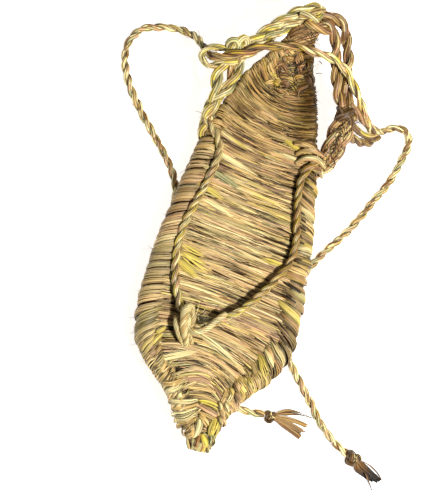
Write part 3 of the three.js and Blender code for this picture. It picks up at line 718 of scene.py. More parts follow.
# Bundles that cross as a braid at the toe: three places in millimetres, width, shade
TOE_LEAVES = [
    (((-26, -89), (-20, -87.5), (-13, -82.5)), 4.4, "tan"),
    (((-22.3, -93.2), (-19, -91.2), (-13, -86)), 4.2, "pale"),
    (((-14.8, -85.7), (-5.7, -81.5), (5.7, -82.4)), 4, "rose"),
    (((-13.1, -88.5), (-1, -86.4), (9.5, -87.6)), 4.4, "tan"),
    (((12.5, -80.5), (12.6, -87), (10.4, -94.5)), 3.6, "tan"),
    (((16, -81.5), (15.8, -87), (13.2, -92.5)), 3.2, "pale"),
    (((-10.4, -92.4), (0, -90.4), (11.8, -92.4)), 4.2, "tan"),
    (((-20, -97), (-11.9, -97), (-1.6, -92.6)), 4.2, "pale"),
    (((-17.5, -101.4), (-9.3, -99.8), (-1.2, -95)), 4, "tan"),
    (((-3, -94), (4.7, -93.9), (13, -96)), 4.4, "yellow"),
    (((-16.6, -105), (-9.7, -102.8), (-1.4, -97.2)), 3.8, "pale"),
    (((-3, -96.4), (4.2, -98), (12, -101)), 4.6, "rose"),
    (((-14.4, -108), (-7.6, -105.2), (-1.2, -98.8)), 4, "pale"),
    (((-12, -111.5), (-6.2, -107.8), (-0.6, -101)), 4.2, "tan"),
    (((-1.5, -100), (4.9, -101.2), (10.5, -102.4)), 3.4, "tan"),
    (((-0.8, -101.6), (3.3, -103.7), (6.8, -107)), 5, "tan"),
    (((10.4, -99), (9.8, -106.1), (9.4, -113)), 6.4, "yellow"),
    (((-6, -107), (-5.6, -112), (-6.4, -115.6)), 3.6, "tan"),
    (((-2.4, -109), (-2.7, -113.5), (-3.6, -116.8)), 3.6, "tan"),
    (((0.4, -102.6), (0.7, -108.8), (-0.8, -115.4)), 5.2, "pale"),
    (((2.6, -112.5), (1.8, -117), (2, -120.2)), 4, "brown"),
    (((3.6, -111.5), (6.4, -115.6), (8, -119.4)), 4.2, "yellow"),
    (((9, -110), (10, -114.8), (9.4, -119)), 4, "green"),
]
# Single bundles that catch the eye on the bed: three places in millimetres, width, shade
BED_LEAF_STRETCH = 1.5
BED_LEAVES = [
    (((-33, -5.8), (-26.4, -7.3), (-19, -8.3)), 4.2, "yellow"),
    (((-32, -11.6), (-24.7, -14.3), (-15, -16.8)), 8, "yellow"),
    (((-32, -16.4), (-25.9, -19.7), (-18, -22.4)), 4.4, "yellow"),
    (((-31, 32.2), (-24, 30.8), (-15, 28.2)), 4.6, "yellow"),
    (((-28.5, 25.3), (-18.8, 22.8), (-8, 20.3)), 3.8, "pale"),
    (((18, 0), (24.5, -0.7), (31, -1.3)), 4, "yellow"),
    (((-30, 55.8), (-16.3, 53.3), (-1, 49.4)), 4.4, "pale"),
    (((-30, 44), (-18.6, 40.9), (-4, 36.5)), 4.2, "green"),
    (((-23, 67), (-15.3, 65.2), (-7, 62.7)), 2.4, "yellow"),
    (((13, 66.4), (19.1, 65.9), (26, 65.5)), 3, "pale"),
    (((13.5, 75.8), (20.4, 73.3), (28, 70.6)), 3.2, "yellow"),
    (((-13.6, 113.2), (-7.4, 110.4), (0, 109)), 4.4, "yellow"),
    (((-30, -75.5), (-20.1, -70.4), (-9, -65.6)), 5, "pale"),
    (((-9.5, -56), (3, -60), (18, -68.3)), 4.6, "pale"),
]
# Straws over the tip of the toe, and bundles on top of the heel: shades, their odds and cast
CAP_SHADES = ("tan", "brown", "green", "yellow")
CAP_ODDS = (0.4, 0.3, 0.18, 0.12)
CAP_OUT = np.array([0, -0.4, 1])
KNOB_SHADES = ("tan", "yellow", "rose", "pale")
KNOB_ODDS = (0.44, 0.16, 0.28, 0.12)
KNOB_CAST = np.array([0.64, 0.53, 0.33])


def smooth_column(table, column, place):
    """Column of a table at places along the foot, through its rows without overshoot."""
    along = table[:, 0]
    value = table[:, column]
    slope = np.diff(value) / np.diff(along)
    before, after = slope[:-1], slope[1:]
    with np.errstate(divide="ignore", invalid="ignore"):
        inner = np.where(before * after > 0, 2 * before * after / (before + after), 0)
    tangent = np.concatenate([slope[:1], inner, slope[-1:]])
    place = np.clip(place, along[0], along[-1])
    part = np.clip(np.searchsorted(along, place, side="right") - 1, 0, len(along) - 2)
    span = along[part + 1] - along[part]
    share = (place - along[part]) / span
    return eased_between(value[part], value[part + 1], tangent[part] * span, tangent[part + 1] * span, share)


def cup_rise(share, y):
    """Rise of the sole towards its sides, at shares of its half width and places along the foot."""
    return smooth_column(SOLE_SECTIONS, CUP, y) * (np.maximum(0, share - CUP_START) / (1 - CUP_START)) ** 2


def bed_dish(share):
    """Depth of the hollow of the bed at shares of its half width."""
    return BED_DISH * np.maximum(0, 1 - (share / TOP_ROUND_START) ** 2)


def sole_skin(row, reach, out):
    """Points in metres on the sole's skin.

    row: place of a weft row on the middle line; reach: share of the way round the section, negative
    on the left; out: distance outwards. In millimetres and shares, of shapes that spread to one.
    """
    row, reach, out = np.broadcast_arrays(row, reach, out)
    side = np.where(reach < 0, -1.0, 1.0)
    far = np.abs(reach)
    top = far <= 1
    top_angle = np.clip((far - BED_REACH) / (1 - BED_REACH), 0, 1) * np.pi / 2
    foot_angle = (1 - np.clip((far - 1) / (FOOT_REACH - 1), 0, 1)) * np.pi / 2
    on_bed = np.clip(far / BED_REACH, 0, 1) * TOP_ROUND_START
    over = on_bed + (1 - TOP_ROUND_START) * np.sin(top_angle)
    flat = np.clip((UNDERSIDE - far) / (UNDERSIDE - FOOT_REACH), 0, 1) * FOOT_ROUND_START
    below = flat + (1 - FOOT_ROUND_START) * np.sin(foot_angle)
    across = side * np.where(top, over, below)
    fall = np.where(top, 1 - np.cos(top_angle), 1 - np.cos(foot_angle))
    lean = side * np.where(top, top_angle, np.pi - foot_angle)
    skew = smooth_column(WEFT_LAY, SKEW, row)
    bow = smooth_column(WEFT_LAY, BOW, row)
    y = row - skew * across + bow * across ** 2
    left = smooth_column(SOLE_SECTIONS, LEFT, row + skew + bow)
    right = smooth_column(SOLE_SECTIONS, RIGHT, row - skew + bow)
    thick = smooth_column(SOLE_SECTIONS, THICK, y)
    waist = thick * WAIST_HEIGHT
    share = np.abs(across)
    height = np.where(top, thick - bed_dish(share) - (thick - waist) * fall, waist * fall)
    z = smooth_column(SOLE_SECTIONS, UNDER, y) + cup_rise(share, y) + height
    x = (left + right) / 2 + (right - left) / 2 * across
    return np.stack([x + out * np.sin(lean), y, z + out * np.cos(lean)], axis=-1) * MM


def palette(colours):
    """The straw colours by name."""
    return {name: np.array(getattr(colours, name)) for name in (
        "tan", "rose", "pale", "yellow", "green", "brown", "core")}


def straw_tints(rng, count, shades, names, odds, mix=0.45):
    """A colour for each straw, between two of the named shades."""
    stock = np.array([shades[name] for name in names])
    first = stock[rng.choice(len(names), count, p=odds)]
    second = stock[rng.choice(len(names), count, p=odds)]
    blend = rng.uniform(0, mix, (count, 1))
    light = BRIGHTEST_STRAW - LIGHT_RANGE * rng.uniform(0, 1, (count, 1)) ** 2
    return (first * (1 - blend) + second * blend) * light


def named(shades, names, cast=1):
    """Colours of some named shades with a cast."""
    return [cast * shades[name] for name in names]


def bundle_tints(rng, base, straws, own, shades, odds, mix=0.45):
    """A colour for each straw of some bundles: its bundle's base colour with a share of its own."""
    base = np.repeat(base, straws, axis=0)
    return (1 - own) * base + own * straw_tints(rng, len(base), shades, SOLE_SHADES, odds, mix)


def mottled(rng, tint, place, depth, slow=2, fast=8):
    """Colours of straws that vary smoothly along them."""
    return tint[:, None, :] * (1 + depth * waves(rng, len(tint), place, slow, fast))[:, :, None]


def painted_border_shade(place, depth):
    """Painted shade on the straws at the sides of a bundle, whose places run from -0.5 to 0.5."""
    return 1 - depth * np.minimum(1, np.abs(2 * place)) ** 3


def across_rows(row, reach, out, step=0.4):
    """Direction from one weft row to the next on the skin."""
    return sole_skin(row + step, reach, out) - sole_skin(row - step, reach, out)


def lay_straws(stock, rng, row, reach, out, wide, thick, tint, flip=1):
    """Flat straws on the sole's skin. flip: -1 for straws that run from right to left."""
    path = sole_skin(row, reach, out)
    wide, thick = (np.broadcast_to(size, path.shape[:2]) for size in (wide, thick))
    add_blades(stock, rng, path, flip * across_rows(row, reach, out), wide, thick, np.clip(tint, 0, 1))


def edge_slant(row, side):
    """Slant of the bundles of one edge at some rows."""
    return np.interp(row, EDGE_SLANT[:, 0], EDGE_SLANT[:, 1 if side < 0 else 2])


def wear_and_painted_shade(tint, row, reach):
    """Straw colour browner with wear towards the heel, with painted shade on the heel's right wall and its
    rim, and lighter at the toe.
    """
    heel = (ease(row, *HEEL_ROWS) * (1 - LEFT_SPARED * ease(reach, *LEFT_REACH)))[..., None]
    side = 1 - ease(reach, *WALL_END)
    wall = (ease(row, *WALL_ROWS) * ease(reach, *WALL_REACH) * side)[..., None]
    rim = (ease(row, *RIM_ROWS) * ease(reach, *RIM_REACH) * side)[..., None]
    toe = ease(row, *TOE_ROWS)[..., None]
    tint = tint * (1 + TOE_GAIN * toe) * (1 - RIM_PAINTED_SHADE * rim)
    return tint * (1 - heel * HEEL_WEAR) * (1 - wall * WALL_PAINTED_SHADE)


def add_weft(stock, rng, sizes, shades):
    """Rows of straw across the bed. Their ends go down under the edges, further out at the heel."""
    rows = sizes.weft_rows
    straws = sizes.row_straws
    count = rows * straws
    widths = rng.uniform(0.7, 1.35, rows) * (1 - 0.3 * ease(np.linspace(0, 1, rows), 0.6, 0.85))
    widths *= (LAST_ROW - FIRST_ROW) / widths.sum()
    middles = (FIRST_ROW + np.cumsum(widths) - widths / 2)[:, None, None]
    width = widths[:, None, None]
    row_tints = straw_tints(rng, rows, shades, SOLE_SHADES, SOLE_ODDS)
    far = np.abs(TOP_REACH)
    heel = ease(middles, 60, 85)
    toe = ease(-middles, -TOE_BRAID_START - 3, -TOE_BRAID_START + 3)
    reach = TOP_REACH * (1 + 0.22 * heel)
    under = ease(far, WARP_LINE - 0.06, WARP_LINE + 0.1) * (1 - 0.85 * ease(middles, 55, 80))
    under = under + 0.8 * heel * ease(far, 0.68, 0.78)
    place = loose_places(rng, rows, straws, 0.05)
    drift = straw_waves(rng, rows, straws, TOP_REACH, 2, 9)
    sway = waves(rng, rows, TOP_REACH, 1, 5)[:, None, :]
    swell = 1 + 0.22 * waves(rng, rows, TOP_REACH, 2, 7)[:, None, :]
    lift = straw_waves(rng, rows, straws, TOP_REACH, 3, 12)
    heave = waves(rng, rows, TOP_REACH, 1.5, 6)[:, None, :]
    row = middles + width * (ROW_SPREAD * place * swell + 0.12 * drift) + 0.6 * sway
    bulge = sizes.row_bulge / MM * (round_top(place) - 0.75)
    out = bulge + 0.2 * lift + 0.36 * heave - 1.2 * under - 1.1 * toe
    row, out, reach = per_straw(count, row, out, reach)
    thick = sizes.straw_height * rng.uniform(0.7, 1.25, (count, 1))
    wide = (width * MM / straws * 1.15 * rng.uniform(0.6, 1.35, (rows, straws, 1))).reshape(count, 1)
    tint = bundle_tints(rng, row_tints, straws, 0.6, shades, SOLE_ODDS, 0.3)
    tint = 1.07 * mottled(rng, tint, TOP_REACH, 0.2) * painted_border_shade(place, 0.95).reshape(count, 1, 1)
    lay_straws(stock, rng, row, reach, out, wide, thick, wear_and_painted_shade(tint, row, reach))


def left_tone(shades, row):
    """Leading shade of the left edge at some rows."""
    places = [place for place, _ in LEFT_TONES]
    tones = np.array([shades[name] for _, name in LEFT_TONES])
    return np.stack([np.interp(row, places, channel) for channel in tones.T], axis=-1)


def add_edge(stock, rng, shades, side, straws=8):
    """Bundles that come out of the bed, wrap one edge and go under the sole, each lapped over the next."""
    wrap = EDGE_WRAP[side]
    middles = [FIRST_ROW]
    while middles[-1] < LAST_ROW - 2:
        step = np.interp(middles[-1], EDGE_PITCH[:, 0], EDGE_PITCH[:, 1])
        middles.append(middles[-1] + step * rng.uniform(0.82, 1.18))
    flat_middles = np.array(middles)
    middles = flat_middles[:, None, None]
    bundles = len(middles)
    count = bundles * straws
    pitch = np.gradient(flat_middles)[:, None, None]
    slant = edge_slant(flat_middles, side) * rng.uniform(0.85, 1.15, bundles) + rng.normal(0, 0.7, bundles)
    share = (EDGE_REACH - EDGE_REACH[0]) / (EDGE_REACH[-1] - EDGE_REACH[0])
    drift = straw_waves(rng, bundles, straws, share, 2, 8)
    swell = 1 + 0.1 * waves(rng, bundles, share, 2, 6)[:, None, :]
    lift = straw_waves(rng, bundles, straws, share, 3, 10)
    heel = ease(middles, 55, 85)
    start = wrap["ragged"] * rng.uniform(-0.05, 0.05, (bundles, 1, 1))
    start = start + rng.uniform(-0.06, 0.06, (bundles, straws, 1))
    start = start - heel * rng.uniform(0, 0.45, (bundles, straws, 1))
    spread = wrap["spread"] + wrap["toe_spread"] * ease(-middles, 48, 76) + 0.12 * heel
    breadth = pitch * spread * (0.6 + 0.4 * ease(share, 0, 0.3) - 0.15 * ease(share, 0.6, 1)) * swell
    place = loose_places(rng, bundles, straws, 0.05)
    along = np.clip((EDGE_REACH - WARP_LINE) / (1 - WARP_LINE), -0.25, 1.3)
    row = middles - slant[:, None, None] * along + place * breadth + 0.07 * pitch * drift
    lap = wrap["lap"] * rng.uniform(0.3, 1.0, (bundles, 1, 1)) * (1 - 0.9 * heel)
    uneven = (rng.uniform(-0.5, 0.3, (bundles, 1, 1)) - 0.3) * ease(-middles, 5, 35)
    bulge = wrap["swell"] * (1 - 0.85 * heel) * (round_top(place) - 0.65)
    risen = ease(share + start, 0, 0.22)
    out = -1.4 + (1.7 + uneven - 0.4 * heel + bulge) * risen + lap * place + 0.09 * lift
    sunk = ease(EDGE_REACH, 1.12, 1.4)
    out = out * (1 - sunk) - 0.7 * sunk
    row, out = per_straw(count, row, out)
    reach = side * EDGE_REACH[None, :]
    thick = 0.9 * MM * rng.uniform(0.7, 1.2, (count, 1))
    wide = breadth * MM / straws * wrap["straw"] * rng.uniform(0.7, 1.3, (bundles, straws, 1))
    brown = 0.15 * heel[:, 0]
    base = straw_tints(rng, bundles, shades, SOLE_SHADES, wrap["odds"])
    base = base * (1 - brown) + shades["brown"] * brown
    if side < 0:
        base = (0.45 * base + 0.55 * left_tone(shades, flat_middles)) * rng.uniform(0.6, 1.25, (bundles, 1))
    tint = mottled(rng, bundle_tints(rng, base, straws, 0.32, shades, wrap["odds"]), share, 0.13)
    tint = 0.94 * tint * painted_border_shade(place, wrap["border"]).reshape(count, 1, 1)
    # Painted shade where the bundles come out of the bed, less at the toe and none at the heel
    emerging_painted_shade = wrap["dark"] * (1 - 0.7 * ease(-middles, 46, 62)) * (1 - heel)
    dark = 1 - emerging_painted_shade[:, 0] * (1 - ease(share, 0.02, wrap["dark_end"]))
    tint = wear_and_painted_shade(tint * np.repeat(dark, straws, axis=0)[..., None], row, reach)
    lay_straws(stock, rng, row, reach, out, wide.reshape(count, -1), thick, tint, side)


def add_edge_leaves(stock, rng, shades, kind, side, first, last, pitch, width):
    """Plump pointed bundles that lap over an edge, side by side."""
    leaf = LEAF_KINDS[kind]
    straws = leaf["straws"]
    share = np.linspace(0, 1, 11)
    middles = np.arange(first, last, pitch)
    count = len(middles)
    total = count * straws
    row = middles[:, None, None] + rng.uniform(-0.18, 0.18, (count, 1, 1)) * pitch
    slant = edge_slant(row, side) * rng.uniform(0.95, 1.3, (count, 1, 1))
    slant = slant + rng.uniform(-0.5, 1.5, (count, 1, 1))
    reach = rng.uniform(*leaf["start"], (count, 1, 1)) + rng.uniform(*leaf["length"], (count, 1, 1)) * share
    belly = np.sin(np.pi * share) ** 0.6
    width = width * rng.uniform(0.95, 1.25, (count, 1, 1))
    place = loose_places(rng, count, straws, 0.04)
    drift = 0.04 * straw_waves(rng, count, straws, share, 2, 7)
    row = row - slant * (reach - WARP_LINE) / (1 - WARP_LINE)
    row = row + width * (0.12 + 0.88 * belly) * (place + drift)
    toe = ease(-middles, 46, 62)[:, None, None]
    stand, plump = LEAF_BULGE[side]
    stand = stand + leaf["lift"] - 0.3 * toe + rng.uniform(0, 0.6, (count, 1, 1))
    out = stand + (plump - 0.8 * toe) * (round_top(place) - 0.6) * belly - 2.8 * (1 - belly)
    row, out, reach = per_straw(total, row, out, side * reach)
    wide = width * (0.2 + 0.8 * belly) * MM / straws * 1.35 * rng.uniform(0.75, 1.25, (count, straws, 1))
    base = straw_tints(rng, count, shades, SOLE_SHADES, leaf["odds"])
    if side < 0:
        dim = (1 - 0.35 * ease(middles, -60, -52))[:, None]
        base = ((1 - leaf["tone"]) * base + leaf["tone"] * left_tone(shades, middles)) * dim
    tint = mottled(rng, bundle_tints(rng, base, straws, 0.3, shades, leaf["odds"]), share, 0.13)
    tint = 0.95 * tint * painted_border_shade(place, 1.1).reshape(total, 1, 1)
    # Painted shade at the inner ends of the bundles, where they come out of the bed, less at the toe
    dark = 1 - 0.5 * (1 - 0.7 * toe[:, 0]) * (1 - ease(share, 0, 0.3))
    tint = wear_and_painted_shade(tint * np.repeat(dark, straws, axis=0)[..., None], row, reach)
    lay_straws(stock, rng, row, reach, out, wide.reshape(total, -1), 0.8 * MM, tint, side)


def add_painted_edge_gaps(stock, rng, shades, side, first, last, pitch):
    """Thin dark straws between the plump bundles of an edge: painted shade that reads as gaps."""
    share = np.linspace(0, 1, 9)
    row = np.arange(first, last, pitch)[:, None]
    count = len(row)
    row = row + pitch * rng.uniform(0.35, 0.65, (count, 1))
    slant = 1.1 * edge_slant(row, side)
    reach = rng.uniform(0.62, 0.72, (count, 1)) + rng.uniform(0.18, 0.34, (count, 1)) * share
    row = row - slant * (reach - WARP_LINE) / (1 - WARP_LINE)
    arch = np.sin(np.pi * share)
    wide = rng.uniform(0.7, 1.5, (count, 1)) * MM * (0.2 + 0.8 * arch)
    tint = shades["core"] * rng.uniform(0.4, 1.1, (count, 1, 1))
    lay_straws(stock, rng, row, side * reach, 0.5 + 1.2 * arch, wide, 0.5 * MM, tint, side)


def add_row_leaves(stock, rng, shades, count=170, straws=3):
    """Pointed bundles that lie along the rows of the bed."""
    share = np.linspace(-0.5, 0.5, 13)
    total = count * straws
    row = rng.uniform(TOE_BRAID_START, LAST_ROW - 12, (count, 1, 1))
    middle = rng.uniform(-0.6, 0.6, (count, 1, 1))
    span = rng.uniform(0.4, 1.15, (count, 1, 1))
    reach = np.clip(middle + span * share, -0.76, 0.76)
    belly = round_top(share)
    width = rng.uniform(2, 4.2, (count, 1, 1))
    place = loose_places(rng, count, straws, 0.06)
    askew = rng.normal(0, 0.9, (count, 1, 1)) * share
    drift = 0.1 * straw_waves(rng, count, straws, share, 3, 9)
    row = row + askew + width * (0.06 + 0.94 * belly) * (place + drift)
    bulge = 0.9 * (round_top(place) - 0.6) * belly
    out = rng.uniform(0.1, 0.55, (count, 1, 1)) + bulge - 1.4 * (1 - belly)
    row, out, reach = per_straw(total, row, out, reach)
    wide = width * (0.15 + 0.85 * belly) * MM / straws * 1.3 * rng.uniform(0.7, 1.3, (count, straws, 1))
    base = straw_tints(rng, count, shades, SOLE_SHADES, SOLE_ODDS)
    tint = mottled(rng, bundle_tints(rng, base, straws, 0.55, shades, SOLE_ODDS), share, 0.15, 3, 9)
    tint = wear_and_painted_shade(tint * painted_border_shade(place, 0.7).reshape(total, 1, 1), row, reach)
    lay_straws(stock, rng, row, reach, out, wide.reshape(total, -1), 0.7 * MM, tint)


def add_fine_straws(stock, rng, shades, count=720):
    """Single thin straws that lie over the rows, a little askew."""
    share = np.linspace(-0.5, 0.5, 7)
    row = rng.uniform(FIRST_ROW + 6, LAST_ROW - 6, (count, 1))
    middle = rng.uniform(-0.68, 0.68, (count, 1))
    reach = np.clip(middle + rng.uniform(0.12, 0.5, (count, 1)) * share, -0.8, 0.8)
    row = row + rng.normal(0, 1.1, (count, 1)) * share + 0.3 * waves(rng, count, share, 2, 8)
    arch = 1 - (2 * share) ** 4
    out = 0.4 * arch + rng.uniform(-0.35, 0.6, (count, 1)) - 0.5 * (1 - arch)
    wide = rng.uniform(0.3, 0.8, (count, 1)) * MM * (0.35 + 0.65 * arch)
    tint = straw_tints(rng, count, shades, FINE_SHADES, FINE_ODDS)
    lay_straws(stock, rng, row, reach, out, wide, 0.45 * MM, wear_and_painted_shade(tint[:, None, :], row, reach))


def add_painted_gap_straws(stock, rng, shades, count=850):
    """Thin dark straws among the rows of the bed: painted shade that reads as gaps."""
    share = np.linspace(-0.5, 0.5, 7)
    row = rng.uniform(FIRST_ROW + 6, LAST_ROW - 8, (count, 1))
    middle = rng.uniform(-0.66, 0.66, (count, 1))
    reach = np.clip(middle + rng.uniform(0.25, 1.0, (count, 1)) * share, -0.8, 0.8)
    row = row + rng.normal(0, 0.7, (count, 1)) * share + 0.3 * waves(rng, count, share, 2, 8)
    arch = 1 - (2 * share) ** 2
    out = rng.uniform(0.25, 1.0, (count, 1)) - 0.5 * (1 - arch)
    wide = rng.uniform(0.18, 0.4, (count, 1)) * MM * (0.3 + 0.7 * arch)
    tint = shades["core"] * rng.uniform(0.4, 1.6, (count, 1, 1))
    lay_straws(stock, rng, row, reach, out, wide, 0.5 * MM, tint)


def bed_skin(x, y, out):
    """Points in metres on the top of the sole, over places in millimetres."""
    x, y, out = np.broadcast_arrays(x, y, out)
    left = smooth_column(SOLE_SECTIONS, LEFT, y)
    right = smooth_column(SOLE_SECTIONS, RIGHT, y)
    across = np.clip((x - (left + right) / 2) / ((right - left) / 2), -1, 1)
    share = np.abs(across)
    angle = np.arcsin(np.clip((share - TOP_ROUND_START) / (1 - TOP_ROUND_START), 0, 1))
    thick = smooth_column(SOLE_SECTIONS, THICK, y)
    z = smooth_column(SOLE_SECTIONS, UNDER, y) + cup_rise(share, y) + thick - bed_dish(share)
    z = z - thick * (1 - WAIST_HEIGHT) * (1 - np.cos(angle))
    lean = np.sign(across) * angle
    return np.stack([x + out * np.sin(lean), y, z + out * np.cos(lean)], axis=-1) * MM


def add_leaf(stock, rng, plan, width, tint, straws=5, lift=0.9, bulge=1.2, tuck=1.6, pinch=0.35, fade=None,
             dim=0.55):
    """Bundle of straws on the sole through three places in millimetres, pinched and tucked in at its ends.

    fade: colour of its ends; dim: light on its darkest straws, and the higher it is, the less painted
    shade at its sides.
    """
    share = np.linspace(0, 1, 13)
    line = three_point_line(plan, share)
    ahead = unit(np.gradient(line, axis=0))
    side = np.stack([-ahead[:, 1], ahead[:, 0]], axis=1)
    belly = np.sin(np.pi * share) ** 0.6
    place = straw_places(straws) + rng.uniform(-0.06, 0.06, straws)
    breadth = width * (pinch + (1 - pinch) * belly)
    offset = place[:, None] * breadth + 0.06 * width * waves(rng, straws, share, 2, 7)
    x = line[:, 0] + offset * side[:, 0]
    y = line[:, 1] + offset * side[:, 1]
    crown = round_top(place)[:, None] - 0.6
    out = lift + bulge * crown * belly - tuck * (1 - belly) + 0.12 * waves(rng, straws, share, 3, 9)
    path = bed_skin(x, y, out)
    across = bed_skin(x + 0.3 * side[:, 0], y + 0.3 * side[:, 1], out) - path
    wide = breadth * MM / straws * 1.4 * rng.uniform(0.7, 1.35, (straws, 1))
    if fade is not None:
        keep = (np.sin(np.pi * share) ** 0.8)[:, None]
        tint = tint * keep + fade * (1 - keep)
    shade = tint * rng.uniform(dim, 1.8 - dim, (straws, 1, 1))
    shade = shade * (1 + 0.12 * waves(rng, straws, share, 2, 8))[:, :, None]
    shade = shade * painted_border_shade(place, 1.5 - dim)[:, None, None]
    add_blades(stock, rng, path, across, wide, np.full_like(wide, 0.8 * MM), np.clip(shade, 0, 1))


def add_toe_cap(stock, rng, shades, straws=22):
    """Straws that run over the blunt tip of the toe."""
    for place in straw_places(straws):
        top = 3 + 14 * place + rng.uniform(-0.3, 0.3)
        start = bed_skin(top, -115.5, -0.2) / MM
        brow = bed_skin(0.9 * top + 0.8, -118, 0.7) / MM
        nose = (0.75 * top + 1.4, -122.2 + 0.8 * abs(place), 18.6 + rng.uniform(-0.5, 0.5))
        chin = (0.85 * top + 1.2, -118.5, 13.6)
        line = cord_line([start, brow, nose, chin], 1.2)[None]
        across = np.cross(np.broadcast_to(CAP_OUT, line.shape), np.gradient(line, axis=1))
        wide = np.full(line.shape[:2], rng.uniform(0.9, 1.4) * MM)
        tint = shades[rng.choice(CAP_SHADES, p=CAP_ODDS)] * rng.uniform(0.75, 1.05)
        add_blades(stock, rng, line, across, wide, np.full_like(wide, 0.9 * MM), tint)


def add_heel_knob(stock, rng, shades, tiers=5, lumps=5, hairs=110):
    """Short thick bundles that cross each other where the weave closes at the top of the heel."""
    for tier in range(tiers):
        y = 105.5 + 4.6 * tier
        half = 13 - 1.1 * tier
        for lump in range(lumps):
            x = 5 + half * ((lump + 0.5 + 0.4 * (tier % 2)) / 2.7 - 1)
            way = np.radians(rng.normal(-38 if (lump + tier) % 2 else 25, 12))
            reach = rng.uniform(3.8, 5.2) * np.array([np.cos(way), np.sin(way)])
            spot = np.array([x, y]) + rng.uniform(-0.8, 0.8, 2)
            bow = np.array([-reach[1], reach[0]]) * rng.uniform(-0.1, 0.35)
            plan = (spot - reach, spot + bow, spot + reach)
            tint = shades[rng.choice(KNOB_SHADES, p=KNOB_ODDS)] * KNOB_CAST
            # Darker towards the right as painted shade of the heel's right wall; the ends fade to the core's
            # painted shade
            tint = tint * rng.uniform(0.6, 1.15) * (1 - 0.65 * ease(x, 10, 16))
            add_leaf(stock, rng, plan, 4.4, tint, straws=4, bulge=2.6, tuck=2.2, pinch=0.2,
                     fade=shades["core"])
    x = rng.normal(4.5, 6.5, hairs)
    y = rng.uniform(103, 127, hairs)
    way = rng.uniform(0, 2 * np.pi, hairs)
    ahead = np.stack([np.cos(way), np.sin(way), rng.uniform(-0.1, 0.12, hairs)], axis=1)
    light = rng.uniform(0, 1, (hairs, 1)) < 0.3
    tint = np.where(light, shades["pale"] * 0.8, shades["core"] * rng.uniform(0.4, 1.3, (hairs, 1)))
    add_hairs(stock, rng, bed_skin(x, y, 1.9), ahead, rng.uniform(3, 6.5, hairs) * MM,
              rng.uniform(0.3, 0.65, hairs) * MM, tint, 0.15)


def add_edge_hairs(stock, rng, shades, count=130):
    """Broken straws that stand off the edges of the sole."""
    row = rng.uniform(FIRST_ROW + 4, LAST_ROW - 4, count)
    reach = rng.choice((-1, 1), count, p=(0.3, 0.7)) * rng.uniform(0.7, 1.25, count)
    start = sole_skin(row, reach, np.full(count, 0.3))
    out = unit(sole_skin(row, reach, np.full(count, 2.0)) - start)
    lie = unit(across_rows(row, reach, np.zeros(count))) * rng.uniform(-1.4, 0.8, (count, 1))
    tint = straw_tints(rng, count, shades, ("brown", "tan", "pale"), (0.45, 0.35, 0.2))
    add_hairs(stock, rng, start, out * 0.5 + lie, rng.uniform(2, 6, count) * MM,
              rng.uniform(0.22, 0.45, count) * MM, tint)


def add_weft_under(stock, rng, sizes, shades, straws=3):
    """Plain rows of straw round the underside, from edge to edge."""
    count = sizes.weft_rows * straws
    pitch = (LAST_ROW - FIRST_ROW) / count
    reach = np.where(UNDER_REACH <= UNDERSIDE, UNDER_REACH, UNDER_REACH - 2 * UNDERSIDE)[None, :]
    middles = FIRST_ROW + pitch * (np.arange(count) + 0.5)
    row = middles[:, None] + 0.35 * waves(rng, count, UNDER_REACH, 1, 4)
    shown = ease(np.abs(reach), 1.02, 1.22)
    out = -1.05 + 0.5 * shown + 0.12 * waves(rng, count, UNDER_REACH, 2, 8)
    tint = straw_tints(rng, count, shades, SOLE_SHADES, SOLE_ODDS)[:, None, :]
    # Darker where they lie sunk under the edge bundles: painted shade in the gaps there
    tint = tint * (0.5 + 0.5 * shown)[..., None]
    lay_straws(stock, rng, row, reach, out, 1.7 * pitch * MM, sizes.straw_height, tint)


def sole_core(shades, finish):
    """Body of the sole under the straws, bridged from section to section, in the core's dark colour: painted
    shade where it shows between them.
    """
    rows = np.linspace(FIRST_ROW, LAST_ROW, 60)
    reach = np.linspace(-UNDERSIDE, UNDERSIDE, 40, endpoint=False)
    rings = sole_skin(rows[:, None], reach, -CORE_DEPTH)
    ends = []
    for ring, way in ((rings[0], -1), (rings[-1], 1)):
        middle = ring.mean(axis=0)
        ends.append(middle + (ring - middle) * 0.5 + np.array([0, way * TIP_LENGTH * 0.6 * MM, 0]))
    rings = np.concatenate([ends[0][None], rings, ends[1][None]])
    stock = StrawStock()
    stock.add(rings[None], shades["core"], np.random.default_rng(SEED))
    return stock.piece("sole_core", finish, "straw_weave")


# Finishes and stage

# Kinds of straw: roughness, depth of the streaks, strength of the relief, shine
FINISHES = {
    "tie_straw": (0.55, 0.25, 0.35, 0.35),
    "tassel_straw": (0.6, 0.25, 0.35, 0.35),
    "weft_straw": (0.5, 0.3, 0.4, 0.35),
    "core_straw": (1, 0.3, 0.4, 0),
    "strap_straw": (0.5, 0.25, 0.35, 0.35),
    "binding_straw": (0.6, 0.3, 0.4, 0.35),
}
# Fine streaks of straw: stretch of the noise along and across, its range, and the relief's depth in metres
FIBRE_STRETCH = (0.15, 7, 1)
FIBRE_DETAIL = 4
FIBRE_ROUGHNESS = 0.65
FIBRE_RANGE = (0.3, 0.7)
FIBRE_DEPTH = 0.0002
# Floor in metres, and the light that it and the surroundings give
FLOOR_SIZE = 24
FLOOR_DROP = 0.0002
FLOOR_WHITE = (0.93, 0.93, 0.92)
FLOOR_ROUGHNESS = 0.9
FLOOR_GLOW = 0.8
WORLD_LIGHT = 0.13
WHITE = (1, 1, 1, 1)
# Lights over the sandal: name, place and size in metres, power in watts
LIGHTS = [
    ("key_light", (0.4, -0.3, 1.1), 0.14, 26.5),
    ("top_light", (-0.1, 0.1, 1.4), 1.2, 1.6),
]


def add_node(tree, kind, **values):
    """Shader node with some of its inputs set."""
    node = tree.nodes.new("ShaderNode" + kind)
    for name, value in values.items():
        node.inputs[name.replace("_", " ").title()].default_value = value
    return node


